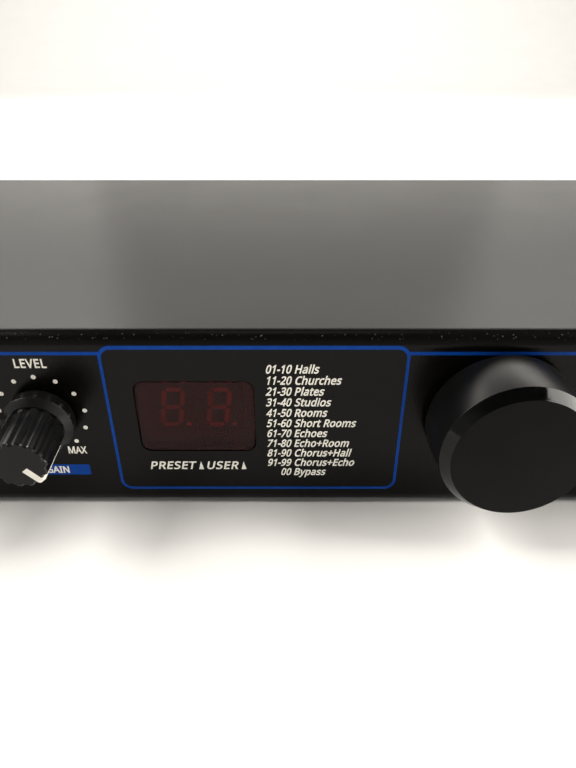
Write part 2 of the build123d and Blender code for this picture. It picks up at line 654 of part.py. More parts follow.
def power_switch_body():
    body = plate(ROCKER_X, CONTROL_Z, BEZEL_WIDTH, BEZEL_HEIGHT, 1.0, FRONT - BEZEL_THICKNESS, FRONT)
    body = fillet(body.faces().sort_by(Axis.Y)[0].edges(), 0.6)
    body += plate(ROCKER_X, CONTROL_Z, SWITCH_BODY_WIDTH, SWITCH_BODY_HEIGHT, 0.5, FRONT,
                  SWITCH_BODY_END)
    body -= plate(ROCKER_X, CONTROL_Z, SWITCH_CAVITY_WIDTH, SWITCH_CAVITY_HEIGHT, 0.3,
                  FRONT - BEZEL_THICKNESS - 1, SWITCH_CAVITY_END)
    pin_hole = Cylinder(ROCKER_PIN_RADIUS + RUNNING_FIT, SWITCH_CAVITY_WIDTH + 1.0)
    return body - Pos(ROCKER_X, ROCKER_PIVOT_Y, CONTROL_Z) * Rot(Y=90) * pin_hole


def power_switch_terminals():
    y0 = SWITCH_BODY_END
    return [block(ROCKER_X - 2.4, ROCKER_X + 2.4, y0, y0 + 7.0, CONTROL_Z + z - 0.4,
                  CONTROL_Z + z + 0.4) for z in (-5.0, 5.0)]


# ---- boards ----------------------------------------------------------------------------------------------
def front_board():
    x0, x1, z0, z1 = FRONT_BOARD
    board = block(x0, x1, FRONT_BOARD_Y, FRONT_BOARD_Y + BOARD, z0, z1)
    for x, z in POSTS:
        board -= rod_y(x, z, M3_CLEARANCE, FRONT_BOARD_Y - 1, FRONT_BOARD_Y + BOARD + 1)
    return board


def front_board_post(x, z):
    post = rod_y(x, z, POST_RADIUS, 0, FRONT_BOARD_Y)
    return post - rod_y(x, z, M3_TAPPED, 2.0, FRONT_BOARD_Y + 1)


def front_board_screw(x, z):
    return Pos(x, FRONT_BOARD_Y + BOARD, z) * Rot(X=-90) * pan_screw(7.0)


def main_board():
    x0, x1, y0, y1 = MAIN_BOARD
    board = block(x0, x1, y0, y1, MAIN_BOARD_Z, BOARD_TOP)
    for x, y in STANDOFFS:
        board -= rod_z(x, y, M3_CLEARANCE, MAIN_BOARD_Z - 1, BOARD_TOP + 1)
    return board


def standoff(x, y):
    return rod_z(x, y, STANDOFF_RADIUS, FLOOR_TOP, MAIN_BOARD_Z) - rod_z(
        x, y, M3_TAPPED, FLOOR_TOP + 1, MAIN_BOARD_Z + 1)


def board_screw(x, y):
    return Pos(x, y, BOARD_TOP) * pan_screw(6.0)


def signal_processor():
    x, y, side, height = PROCESSOR
    chip = Pos(x, y, BOARD_TOP + height / 2) * Box(side, side, height)
    chip = chamfer(chip.edges().filter_by(Axis.Z).sort_by(lambda e: e.center().X + e.center().Y)[0], 2.5)
    dimple = rod_z(x - side / 2 + 5, y - side / 2 + 5, 1.0, BOARD_TOP + height - 0.3, BOARD_TOP + height)
    return chip - dimple


def chip_package(x, y):
    length, width, height = CHIP_SIZE
    chip = Pos(x, y, BOARD_TOP + height / 2) * Box(length, width, height)
    return chip - rod_z(x - length / 2, y, 1.2, BOARD_TOP + height - 0.4, BOARD_TOP + height)


def capacitor(x, y):
    can = rod_z(x, y, CAPACITOR_RADIUS, BOARD_TOP, BOARD_TOP + CAPACITOR_HEIGHT)
    return fillet(can.edges().sort_by(Axis.Z)[-1], 0.8)


def heat_sink():
    """Upright plate on the board with fins on its rear side."""
    x, y = HEAT_SINK
    half = HEAT_SINK_WIDTH / 2
    top = BOARD_TOP + HEAT_SINK_HEIGHT
    sink = block(x - half, x + half, y, y + HEAT_SINK_BASE, BOARD_TOP, top)
    pitch = (HEAT_SINK_WIDTH - FIN_THICKNESS) / (FINS - 1)
    for i in range(FINS):
        left = x - half + i * pitch
        sink += block(left, left + FIN_THICKNESS, y + HEAT_SINK_BASE, y + HEAT_SINK_BASE + FIN_LENGTH,
                      BOARD_TOP, top)
    return sink


def regulator(offset):
    """Three-lead package with its metal tab against the heat sink."""
    x, y = HEAT_SINK
    left = x + offset - REGULATOR_WIDTH / 2
    right = left + REGULATOR_WIDTH
    bottom = BOARD_TOP + REGULATOR_RISE
    tab = block(left, right, y - TAB_THICKNESS, y, bottom, bottom + TAB_HEIGHT)
    front = y - REGULATOR_THICKNESS
    return tab + block(left, right, front, y - TAB_THICKNESS, bottom, bottom + REGULATOR_HEIGHT)


def crystal_can():
    x, y = CRYSTAL
    length, width, height = CRYSTAL_SIZE
    can = Pos(x, y, BOARD_TOP + height / 2) * Box(length, width, height)
    return fillet(can.edges().filter_by(Axis.Z), width / 2 - 0.1)


def ribbon_headers():
    back = FRONT_BOARD_Y + BOARD
    x0 = RIBBON_X - HEADER_LENGTH / 2
    x1 = RIBBON_X + HEADER_LENGTH / 2
    half = HEADER_WIDTH / 2
    front = block(x0, x1, back, back + HEADER_HEIGHT, RIBBON_START_Z - half, RIBBON_START_Z + half)
    main = block(x0, x1, RIBBON_END_Y - half, RIBBON_END_Y + half, BOARD_TOP, BOARD_TOP + HEADER_HEIGHT)
    return front, main


def ribbon_cable():
    """Flat cable that leaves the front header straight back and turns down into the main one."""
    half = RIBBON_THICKNESS / 2
    start = FRONT_BOARD_Y + BOARD + HEADER_HEIGHT
    end = BOARD_TOP + HEADER_HEIGHT
    outline = Polyline((start, RIBBON_START_Z + half), (RIBBON_END_Y + half, RIBBON_START_Z + half),
                       (RIBBON_END_Y + half, end), (RIBBON_END_Y - half, end),
                       (RIBBON_END_Y - half, RIBBON_START_Z - half), (start, RIBBON_START_Z - half),
                       close=True)
    face = make_face(outline)
    corner = face.vertices().sort_by(lambda v: v.X + v.Y)[-1]
    face = fillet(corner, RIBBON_BEND + half)
    inner = [v for v in face.vertices()
             if abs(v.X - RIBBON_END_Y + half) < 0.01 and abs(v.Y - RIBBON_START_Z + half) < 0.01]
    face = fillet(inner, RIBBON_BEND - half)
    return extrude(Plane.YZ.offset(RIBBON_X - RIBBON_WIDTH / 2) * face, RIBBON_WIDTH)


# ---- rear connectors: built with the axis up from the panel's outer face ---------------------------
def jack_body():
    low = -THIN_SHEET - JACK_DEPTH
    body = Pos(0, JACK_RISE - (JACK_RISE + 8) / 2, 0)
    body *= Pos(0, 0, -THIN_SHEET - JACK_DEPTH / 2) * Box(JACK_BODY, JACK_RISE + 8, JACK_DEPTH)
    body += rod_up(JACK_BUSHING, low + 5, JACK_REACH)
    return body - rod_up(JACK_BORE, -THIN_SHEET - JACK_BORE_DEPTH, JACK_REACH + 1)


def jack_washer():
    return tube(JACK_WASHER_RADIUS, JACK_HOLE, 0, JACK_WASHER_HEIGHT)


def jack_nut():
    base = JACK_WASHER_HEIGHT
    return hex_nut(JACK_NUT_SIZE, JACK_BUSHING + 0.05, base, base + JACK_NUT_HEIGHT)


def contact_places():
    for i in range(5):
        angle = pi * i / 4
        yield DATA_CONTACT_CIRCLE * cos(angle), DATA_CONTACT_CIRCLE * sin(angle)


def data_socket():
    """Round socket with a ring groove for the plug's shell, seen from the rear face at Z 0."""
    inner, outer = DATA_GROOVE
    inside = -THIN_SHEET
    flange_depth, flange_width = DATA_FLANGE
    body_depth, body_width = DATA_BODY
    flange = Box(flange_width, 2 * DATA_RISE - 1, flange_depth)
    body = Pos(0, 0, inside - flange_depth / 2) * flange
    body += Pos(0, 0, inside - flange_depth - body_depth / 2) * Box(body_width, 2 * DATA_RISE, body_depth)
    body += rod_up(DATA_RADIUS, inside - flange_depth / 2, DATA_REACH)
    body -= tube(outer, inner, DATA_REACH - DATA_GROOVE_DEPTH, DATA_REACH + 1)
    for x, y in contact_places():
        hole = DATA_CONTACT_RADIUS + CONTACT_FIT
        body -= rod_z(x, y, hole, DATA_REACH - DATA_GROOVE_DEPTH, DATA_REACH + 1)
    for x in (-DATA_SCREW_OFFSET, DATA_SCREW_OFFSET):
        body -= rod_z(x, 0, M3_TAPPED, -DATA_SCREW_LENGTH - 0.5, 1)
    return body


def data_contacts():
    bottom = DATA_REACH - DATA_GROOVE_DEPTH
    sleeve = tube(DATA_CONTACT_RADIUS, DATA_CONTACT_BORE, bottom, -CONTACT_SET_BACK)
    return [Pos(x, y) * sleeve for x, y in contact_places()]


def power_inlet():
    """Barrel inlet: a block behind the panel with a boss through it, seen from the rear face at Z 0."""
    width, depth = INLET_BODY
    body = Pos(0, 0, -THIN_SHEET - depth / 2) * Box(width, 2 * INLET_RISE, depth)
    body += rod_up(INLET_BOSS, -THIN_SHEET - 1, INLET_REACH)
    return body - rod_up(INLET_BORE, -INLET_BORE_DEPTH, 1)


def power_inlet_pin():
    pin = rod_up(INLET_PIN, -INLET_BORE_DEPTH, -INLET_PIN_SET_BACK)
    return fillet(pin.edges().sort_by(Axis.Z)[-1], 0.4)


# ---- write every node --------------------------------------------------------------------------------
def save_case():
    save("wrap_cover", wrap_cover())
    save("base_chassis", base_chassis())
    save("rear_panel", rear_panel())
    save("rear_rails", *rear_rails())
    save("cover_screws", *cover_screws())
    save("base_screws", *base_screws())


def save_display():
    segments = display_segments()
    save("display_lens", display_lens())
    save("display_segments", *segments)
    save("display_housing", display_housing(segments))


def save_small_knobs():
    pointer = small_knob_pointer()
    knob = small_knob(pointer)
    for name, (x, turn) in SMALL_KNOBS.items():
        save(name + "_knob", on_front(knob, x, CONTROL_Z, turn))
        save(name + "_pointer", on_front(pointer, x, CONTROL_Z, turn))
        save(name + "_shaft", on_front(shaft(SHAFT_RADIUS, SMALL_SHAFT_TOP), x, CONTROL_Z, turn))
    pot = control_body(10.5, 12.0, FRONT_BOARD_Y)
    save("pot_bodies", *[on_front(pot, x, CONTROL_Z) for x in KNOB_AXES])
    save("pot_washers", *[on_front(control_washer(), x, CONTROL_Z) for x in KNOB_AXES])
    save("pot_nuts", *[on_front(control_nut(), x, CONTROL_Z) for x in KNOB_AXES])


def save_program_knob():
    save("program_knob", on_front(program_knob(), DIAL_X, CONTROL_Z))
    save("encoder_shaft", on_front(shaft(SHAFT_RADIUS, DIAL_SHAFT_TOP), DIAL_X, CONTROL_Z))
    save("encoder_body", on_front(control_body(12.4, 13.4, FRONT_BOARD_Y), DIAL_X, CONTROL_Z))
    save("encoder_washer", on_front(control_washer(), DIAL_X, CONTROL_Z))
    save("encoder_nut", on_front(control_nut(), DIAL_X, CONTROL_Z))


def save_buttons_and_lights():
    for name, x in BUTTONS.items():
        save(name + "_button", button(x))
    save("tact_switches", *[tact_switch(x) for x in BUTTONS.values()])
    save("green_meter_lights", *meter_lights(red=False))
    save("red_meter_lights", *meter_lights(red=True))
    save("power_rocker", power_rocker())
    save("power_switch_body", power_switch_body())
    save("power_switch_terminals", *power_switch_terminals())


def save_boards():
    save("front_board", front_board())
    save("front_board_posts", *[front_board_post(x, z) for x, z in POSTS])
    save("front_board_screws", *[front_board_screw(x, z) for x, z in POSTS])
    save("main_board", main_board())
    save("board_standoffs", *[standoff(x, y) for x, y in STANDOFFS])
    save("board_screws", *[board_screw(x, y) for x, y in STANDOFFS])
    save("signal_processor", signal_processor())
    save("chip_packages", *[chip_package(x, y) for x, y in CHIP_PLACES])
    save("capacitors", *[capacitor(x, y) for x, y in CAPACITOR_PLACES])
    save("heat_sink", heat_sink())
    save("regulators", *[regulator(offset) for offset in REGULATORS])
    save("crystal_can", crystal_can())
    save("ribbon_headers", *ribbon_headers())
    save("ribbon_cable", ribbon_cable())


def save_connectors():
    save("jack_bodies", *[on_rear(jack_body(), x, JACK_Z) for x in JACKS])
    save("jack_washers", *[on_rear(jack_washer(), x, JACK_Z) for x in JACKS])
    save("jack_nuts", *[on_rear(jack_nut(), x, JACK_Z) for x in JACKS])
    save("data_sockets", *[on_rear(data_socket(), x, DATA_Z) for x in DATA_SOCKETS])
    contacts = [on_rear(contact, x, DATA_Z) for x in DATA_SOCKETS for contact in data_contacts()]
    save("data_socket_contacts", *contacts)
    offsets = (-DATA_SCREW_OFFSET, DATA_SCREW_OFFSET)
    screw = pan_screw(DATA_SCREW_LENGTH)
    screws = [on_rear(screw, x + offset, DATA_Z) for x in DATA_SOCKETS for offset in offsets]
    save("data_socket_screws", *screws)
    save("power_inlet", on_rear(power_inlet(), INLET_X, INLET_Z))
    save("power_inlet_pin", on_rear(power_inlet_pin(), INLET_X, INLET_Z))


os.makedirs("parts", exist_ok=True)
save_case()
save_display()
save_small_knobs()
save_program_knob()
save_buttons_and_lights()
save_boards()
save_connectors()
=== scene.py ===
import json
from math import cos, pi, radians, sin, sqrt, tan

import bmesh
import bpy
from mathutils import Matrix, Vector


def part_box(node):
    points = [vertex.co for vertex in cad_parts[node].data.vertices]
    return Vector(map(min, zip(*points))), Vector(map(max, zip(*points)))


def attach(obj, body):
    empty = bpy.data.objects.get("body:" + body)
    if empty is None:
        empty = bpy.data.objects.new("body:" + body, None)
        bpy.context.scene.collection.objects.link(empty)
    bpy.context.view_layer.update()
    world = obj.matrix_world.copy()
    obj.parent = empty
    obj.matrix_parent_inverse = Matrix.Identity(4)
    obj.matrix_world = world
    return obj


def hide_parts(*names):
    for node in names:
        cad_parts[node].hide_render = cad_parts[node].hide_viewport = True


# Looks of a one-unit rack effects processor.  Everything is in metres in the CAD frame: X runs along
# the front panel, Y from front to back and Z up.  MM turns a size in millimetres into metres.

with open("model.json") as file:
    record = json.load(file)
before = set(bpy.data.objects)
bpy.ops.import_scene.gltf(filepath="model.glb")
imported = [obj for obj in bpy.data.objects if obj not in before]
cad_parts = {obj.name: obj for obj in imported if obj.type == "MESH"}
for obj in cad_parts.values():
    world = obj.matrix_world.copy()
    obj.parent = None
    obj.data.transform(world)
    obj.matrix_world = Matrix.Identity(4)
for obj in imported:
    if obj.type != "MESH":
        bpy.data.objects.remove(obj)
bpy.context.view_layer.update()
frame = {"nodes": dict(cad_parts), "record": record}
MM = 0.001


# ---- places read from the frame ------------------------------------------------------------------
def middle(node):
    low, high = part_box(node)
    return (low + high) / 2


PANEL_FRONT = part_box("wrap_cover")[0].y
PANEL_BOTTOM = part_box("wrap_cover")[0].z
PANEL_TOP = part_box("wrap_cover")[1].z
CASE_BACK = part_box("rear_panel")[1].y
CONTROL_Z = middle("program_knob").z
DIAL_X = middle("program_knob").x
KNOBS = {name: middle(name + "_knob").x for name in ("input", "mix", "level")}
BUTTONS = {name: middle(name + "_button").x for name in ("bypass", "edit", "tap", "store")}
INK = 0.02 * MM                      # thickness of the printed ink
LETTER_FILE = "/NotoSansHebrew-Regular.woff2"          # a plain sans-serif that comes with Blender
LETTER_FONT = bpy.data.fonts.load(bpy.utils.system_resource("DATAFILES", path="fonts") + LETTER_FILE)


# ---- node helpers ---------------------------------------------------------------------------------
def new_material(name):
    material = bpy.data.materials.new(name)
    material.use_nodes = True
    tree = material.node_tree
    return material, tree, tree.nodes["Principled BSDF"]


def add(tree, kind, **settings):
    node = tree.nodes.new(kind)
    for key, value in settings.items():
        setattr(node, key, value)
    return node


def place_vector(tree):
    return add(tree, "ShaderNodeTexCoord").outputs["Object"]


def noise(tree, size, detail=2.0, stretch=(1, 1, 1)):
    """Noise whose features are about size metres across; stretch lengthens them along an axis."""
    mapping = add(tree, "ShaderNodeMapping")
    mapping.inputs["Scale"].default_value = [1 / (size * s) for s in stretch]
    tree.links.new(place_vector(tree), mapping.inputs["Vector"])
    node = add(tree, "ShaderNodeTexNoise")
    node.inputs["Scale"].default_value = 1.0
    node.inputs["Detail"].default_value = detail
    tree.links.new(mapping.outputs["Vector"], node.inputs["Vector"])
    return node.outputs["Fac"]


def remap(tree, value, low, high, from_low=0.3, from_high=0.7):
    node = add(tree, "ShaderNodeMapRange", clamp=True)
    node.inputs["From Min"].default_value = from_low
    node.inputs["From Max"].default_value = from_high
    node.inputs["To Min"].default_value = low
    node.inputs["To Max"].default_value = high
    tree.links.new(value, node.inputs["Value"])
    return node.outputs["Result"]


def blend_colours(tree, factor, first, second):
    node = add(tree, "ShaderNodeMix", data_type="RGBA")
    node.inputs["A"].default_value = (*first, 1)
    node.inputs["B"].default_value = (*second, 1)
    tree.links.new(factor, node.inputs["Factor"])
    return node.outputs["Result"]


def relief(tree, shader, height, depth, strength=1.0):
    node = add(tree, "ShaderNodeBump")
    node.inputs["Strength"].default_value = strength
    node.inputs["Distance"].default_value = depth
    tree.links.new(height, node.inputs["Height"])
    tree.links.new(node.outputs["Normal"], shader.inputs["Normal"])


def finish_of(name, dark, light, rough, grain=0.3 * MM, depth=0.004 * MM, metallic=0.0, specular=0.5,
              patch=9 * MM, stretch=(1, 1, 1)):
    """A finish with mottled colour, uneven gloss and a fine relief.

    dark and light are the two colours it wanders between, rough the lowest and highest roughness.
    """
    material, tree, shader = new_material(name)
    shader.inputs["Metallic"].default_value = metallic
    shader.inputs["Specular IOR Level"].default_value = specular
    colour = blend_colours(tree, remap(tree, noise(tree, patch, 4.0), 0, 1), dark, light)
    tree.links.new(colour, shader.inputs["Base Color"])
    gloss = remap(tree, noise(tree, patch / 2, 5.0, stretch), *rough)
    tree.links.new(gloss, shader.inputs["Roughness"])
    relief(tree, shader, noise(tree, grain, 3.0, stretch), depth)
    return material


def blend_over(tree, under, colour, factor):
    node = add(tree, "ShaderNodeMix", data_type="RGBA")
    node.inputs["B"].default_value = (*colour, 1)
    tree.links.new(under, node.inputs["A"])
    tree.links.new(factor, node.inputs["Factor"])
    return node.outputs["Result"]


def specks_of(tree, spacing, small, large):
    """1 inside scattered specks about spacing apart, 0 outside; small and large are parts of spacing."""
    cells = add(tree, "ShaderNodeTexVoronoi", feature="F1")
    cells.inputs["Scale"].default_value = 1 / spacing
    tree.links.new(place_vector(tree), cells.inputs["Vector"])
    return remap(tree, cells.outputs["Distance"], 1, 0, small, large)


GLINT_BEHIND = (0.4 * MM, 1.6 * MM)   # painted highlight specks fade out between these two depths behind the panel's front
GLINT_BELOW = (1.5 * MM, 0.5 * MM)    # and fade in between these two heights below the top


def front_fold(tree):
    """1 along the rounded upper front edge of the case, 0 elsewhere."""
    parts = add(tree, "ShaderNodeSeparateXYZ")
    tree.links.new(place_vector(tree), parts.inputs["Vector"])
    near = remap(tree, parts.outputs["Y"], 1, 0, PANEL_FRONT + GLINT_BEHIND[0], PANEL_FRONT + GLINT_BEHIND[1])
    high = remap(tree, parts.outputs["Z"], 0, 1, PANEL_TOP - GLINT_BELOW[0], PANEL_TOP - GLINT_BELOW[1])
    both = add(tree, "ShaderNodeMath", operation="MULTIPLY")
    tree.links.new(near, both.inputs[0])
    tree.links.new(high, both.inputs[1])
    return both.outputs["Value"]


# ---- materials ------------------------------------------------------------------------------------
def case_paint():
    """Black textured paint: fine bumps over a semi-gloss coat, with dust specks and painted highlight specks
    along the front fold.
    """
    dust_grey = (0.10, 0.10, 0.09)
    fold_glint_grey = (0.16, 0.16, 0.15)
    material, tree, shader = new_material("case_paint")
    shader.inputs["Specular IOR Level"].default_value = 0.11
    bumps = noise(tree, 0.30 * MM, 2.5)
    mottle = remap(tree, noise(tree, 6 * MM, 4.0), 0, 1)
    paint = blend_colours(tree, mottle, (0.0022, 0.0020, 0.0017), (0.0032, 0.0029, 0.0025))
    dusty = blend_over(tree, paint, dust_grey, specks_of(tree, 9 * MM, small=0.006, large=0.014))
    # painted highlights: light grey specks along the rounded front fold stand for glints on its textured
    # paint
    fold_glints = add(tree, "ShaderNodeMath", operation="MULTIPLY")
    tree.links.new(front_fold(tree), fold_glints.inputs[0])
    tree.links.new(specks_of(tree, 0.9 * MM, small=0.10, large=0.22), fold_glints.inputs[1])
    dust_and_glints = blend_over(tree, dusty, fold_glint_grey, fold_glints.outputs["Value"])
    tree.links.new(dust_and_glints, shader.inputs["Base Color"])
    gloss = remap(tree, noise(tree, 25 * MM, 3.0), 0.19, 0.23)
    tree.links.new(gloss, shader.inputs["Roughness"])
    relief(tree, shader, bumps, 0.030 * MM)
    return material


def grip_plastic():
    return finish_of("grip_plastic", (0.002, 0.002, 0.002), (0.004, 0.004, 0.004), (0.24, 0.32),
                     grain=0.10 * MM, depth=0.001 * MM, specular=0.4)


def knob_face():
    return finish_of("knob_face", (0.009, 0.0085, 0.008), (0.013, 0.012, 0.011), (0.46, 0.52),
                     grain=0.12 * MM, depth=0.002 * MM, specular=0.12)


def dial_side():
    return finish_of("dial_side", (0.002, 0.002, 0.002), (0.004, 0.004, 0.004), (0.30, 0.34),
                     grain=0.08 * MM, depth=0.001 * MM, specular=0.22)


def dial_polish():
    return finish_of("dial_polish", (0.001, 0.001, 0.001), (0.002, 0.002, 0.002), (0.05, 0.12),
                     grain=0.9 * MM, depth=0.030 * MM, specular=0.18, patch=1.6 * MM)


def dial_face():
    return finish_of("dial_face", (0.003, 0.003, 0.003), (0.005, 0.005, 0.005), (0.46, 0.52),
                     grain=0.12 * MM, depth=0.002 * MM, specular=0.07)


def white_ink():
    return finish_of("white_ink", (0.86, 0.83, 0.74), (0.92, 0.89, 0.81), (0.45, 0.6),
                     grain=0.12 * MM, depth=0.002 * MM, patch=0.8 * MM)


def blue_ink():
    return finish_of("blue_ink", (0.001, 0.045, 0.27), (0.002, 0.055, 0.33), (0.30, 0.40),
                     grain=0.30 * MM, depth=0.015 * MM, patch=2 * MM, specular=0.08)


def pointer_white():
    return finish_of("pointer_white", (0.80, 0.77, 0.68), (0.88, 0.85, 0.77), (0.4, 0.5),
                     grain=0.15 * MM, depth=0.002 * MM, patch=1.5 * MM)


def smoked_lens():
    """Dark red tinted plastic, clear enough to show the digits behind it a little softened."""
    material, tree, shader = new_material("smoked_lens")
    shader.inputs["Transmission Weight"].default_value = 0.96
    shader.inputs["IOR"].default_value = 1.22
    tint = blend_colours(tree, remap(tree, noise(tree, 5 * MM), 0, 1), (0.24, 0.022, 0.018),
                         (0.28, 0.030, 0.024))
    tree.links.new(tint, shader.inputs["Base Color"])
    gloss = remap(tree, noise(tree, 2 * MM, 3.0), 0.14, 0.17)
    tree.links.new(gloss, shader.inputs["Roughness"])
    relief(tree, shader, noise(tree, 3 * MM), 0.001 * MM)
    return material


def display_black():
    return finish_of("display_black", (0.005, 0.002, 0.002), (0.008, 0.003, 0.003), (0.45, 0.6),
                     specular=0.1)


def segment_red():
    return finish_of("segment_red", (0.85, 0.07, 0.07), (0.95, 0.09, 0.09), (0.3, 0.4),
                     grain=0.2 * MM, patch=2 * MM)


def button_plastic():
    return finish_of("button_plastic", (0.022, 0.022, 0.024), (0.032, 0.032, 0.034), (0.42, 0.55),
                     grain=0.10 * MM, depth=0.004 * MM)


def rocker_plastic():
    return finish_of("rocker_plastic", (0.008, 0.008, 0.008), (0.014, 0.014, 0.014), (0.12, 0.2),
                     grain=0.6 * MM, depth=0.002 * MM)


def switch_plastic():
    return finish_of("switch_plastic", (0.008, 0.008, 0.008), (0.014, 0.014, 0.014), (0.35, 0.48),
                     grain=0.12 * MM, depth=0.003 * MM)


def socket_plastic():
    return finish_of("socket_plastic", (0.010, 0.010, 0.010), (0.018, 0.018, 0.018), (0.35, 0.5),
                     grain=0.15 * MM, depth=0.003 * MM)


def clear_light(name, dark, light):
    material, tree, shader = new_material(name)
    shader.inputs["Transmission Weight"].default_value = 0.45
    shader.inputs["IOR"].default_value = 1.5
    tint = blend_colours(tree, remap(tree, noise(tree, 1.2 * MM), 0, 1), dark, light)
    tree.links.new(tint, shader.inputs["Base Color"])
    gloss = remap(tree, noise(tree, 1 * MM, 3.0), 0.10, 0.2)
    tree.links.new(gloss, shader.inputs["Roughness"])
    return material


def green_light():
    return clear_light("green_light", (0.03, 0.26, 0.07), (0.05, 0.36, 0.10))


def red_light():
    return clear_light("red_light", (0.36, 0.02, 0.02), (0.48, 0.03, 0.03))


def zinc():
    return finish_of("zinc", (0.44, 0.44, 0.42), (0.58, 0.58, 0.56), (0.28, 0.42), metallic=1.0,
                     grain=0.2 * MM, depth=0.003 * MM, patch=2 * MM)


def nickel():
    return finish_of("nickel", (0.58, 0.56, 0.52), (0.68, 0.66, 0.62), (0.14, 0.24), metallic=1.0,
                     grain=0.3 * MM, depth=0.002 * MM, patch=3 * MM)


def black_screw():
    return finish_of("black_screw", (0.010, 0.010, 0.010), (0.022, 0.022, 0.022), (0.30, 0.42),
                     grain=0.15 * MM, depth=0.003 * MM, patch=1.5 * MM)


def turned_metal():
    return finish_of("turned_metal", (0.56, 0.56, 0.56), (0.66, 0.66, 0.66), (0.25, 0.38), metallic=1.0,
                     grain=0.06 * MM, depth=0.002 * MM, stretch=(8, 1, 8))


def board_green():
    return finish_of("board_green", (0.006, 0.075, 0.030), (0.010, 0.105, 0.045), (0.25, 0.4),
                     grain=0.5 * MM, depth=0.01 * MM, patch=4 * MM)


def chip_black():
    return finish_of("chip_black", (0.012, 0.012, 0.012), (0.020, 0.020, 0.020), (0.5, 0.65),
                     grain=0.08 * MM, depth=0.004 * MM)


def bright_can():
    return finish_of("bright_can", (0.62, 0.62, 0.63), (0.72, 0.72, 0.73), (0.18, 0.3), metallic=1.0)


def capacitor_sleeve():
    return finish_of("capacitor_sleeve", (0.010, 0.014, 0.060), (0.016, 0.022, 0.085), (0.25, 0.35))


def heat_sink_black():
    return finish_of("heat_sink_black", (0.016, 0.016, 0.016), (0.026, 0.026, 0.026), (0.4, 0.55),
                     metallic=0.6, grain=0.1 * MM, stretch=(1, 1, 12))


RIBBON_PITCH = 1.27 * MM             # from one conductor of the flat cable to the next
WAVE_BANDS = 3.2                     # bands per unit of length that a wave texture of scale 1 draws


def ribbon_grey():
    """Flat cable: its conductors lie side by side and show as fine ridges along it."""
    material, tree, shader = new_material("ribbon_grey")
    shade = blend_colours(tree, remap(tree, noise(tree, 4 * MM), 0, 1), (0.30, 0.30, 0.31),
                          (0.38, 0.38, 0.39))
    tree.links.new(shade, shader.inputs["Base Color"])
    gloss = remap(tree, noise(tree, 2 * MM), 0.4, 0.55)
    tree.links.new(gloss, shader.inputs["Roughness"])
    ridges = add(tree, "ShaderNodeTexWave", wave_type="BANDS", bands_direction="X")
    ridges.inputs["Scale"].default_value = 1 / (RIBBON_PITCH * WAVE_BANDS)
    tree.links.new(place_vector(tree), ridges.inputs["Vector"])
    relief(tree, shader, ridges.outputs["Fac"], 0.3 * MM, 0.7)
    return material


def brass():
    return finish_of("brass", (0.60, 0.43, 0.19), (0.72, 0.54, 0.27), (0.2, 0.34), metallic=1.0,
                     patch=2 * MM)


def pot_plastic():
    return finish_of("pot_plastic", (0.015, 0.035, 0.022), (0.022, 0.05, 0.032), (0.4, 0.5))


def paper_white():
    return finish_of("paper_white", (0.90, 0.89, 0.88), (0.92, 0.91, 0.90), (0.6, 0.8), patch=60 * MM,
                     grain=1.0 * MM, depth=0.002 * MM, specular=0.3)


CAD_MATERIALS = {
    case_paint: ["wrap_cover", "base_chassis", "rear_panel", "rear_rails"],
    black_screw: ["cover_screws", "base_screws", "data_socket_screws"],
    smoked_lens: ["display_lens"],
    display_black: ["display_housing"],
    segment_red: ["display_segments"],
    grip_plastic: ["input_knob", "mix_knob", "level_knob", "program_knob"],
    pointer_white: ["input_pointer", "mix_pointer", "level_pointer"],
    turned_metal: ["input_shaft", "mix_shaft", "level_shaft", "encoder_shaft"],
    pot_plastic: ["pot_bodies", "encoder_body"],
    zinc: ["pot_washers", "encoder_washer", "front_board_posts", "front_board_screws", "board_screws"],
    nickel: ["pot_nuts", "encoder_nut", "jack_washers", "jack_nuts", "power_inlet_pin"],
    button_plastic: ["bypass_button", "edit_button", "tap_button", "store_button"],
    switch_plastic: ["tact_switches", "power_switch_body"],
    rocker_plastic: ["power_rocker"],
    green_light: ["green_meter_lights"],
    red_light: ["red_meter_lights"],
    brass: ["power_switch_terminals", "board_standoffs", "data_socket_contacts"],
    board_green: ["front_board", "main_board"],
    chip_black: ["signal_processor", "chip_packages", "regulators", "ribbon_headers"],
    capacitor_sleeve: ["capacitors"],
    heat_sink_black: ["heat_sink"],
    bright_can: ["crystal_can"],
    ribbon_grey: ["ribbon_cable"],
    socket_plastic: ["jack_bodies", "data_sockets", "power_inlet"],
}


LENS_EDGE = 0.22 * MM                # width of the rounding on the lens's edges


def dress_cad_nodes():
    for make, nodes in CAD_MATERIALS.items():
        material = make()
        for name in nodes:
            node = frame["nodes"][name]
            node.data.materials.clear()
            node.data.materials.append(material)
    rounding = frame["nodes"]["display_lens"].modifiers.new("rounded_edge", "BEVEL")
    rounding.width = LENS_EDGE
    rounding.segments = 2


# ---- mesh helpers ----------------------------------------------------------------------------------
def new_piece(name, mesh, material, body, smooth_angle=35.0):
    """Put a mesh in the scene as a named piece with its material, riding on a body.

    Edges sharper than smooth_angle, in degrees, stay sharp in the shading.
    """
    for polygon in mesh.polygons:
        polygon.use_smooth = True
    mesh.set_sharp_from_angle(angle=radians(smooth_angle))
    mesh.materials.append(material)
    piece = bpy.data.objects.new(name, mesh)
    bpy.context.scene.collection.objects.link(piece)
    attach(piece, body)
    return piece


def clean_mesh(name, build):
    """A mesh made by build(bm), with doubled points merged and its faces turned outward."""
    bm = bmesh.new()
    build(bm)
    bmesh.ops.remove_doubles(bm, verts=bm.verts, dist=1e-7)
    bmesh.ops.recalc_face_normals(bm, faces=bm.faces)
    mesh = bpy.data.meshes.new(name)
    bm.to_mesh(mesh)
    bm.free()
    return mesh


def on_panel(x, z, lift=0.0):
    """Places a shape drawn in X and Y, facing +Z, on the front panel at x, z, or lift in front of it."""
    return Matrix.Translation((x, PANEL_FRONT - lift, z)) @ Matrix.Rotation(pi / 2, 4, "X")


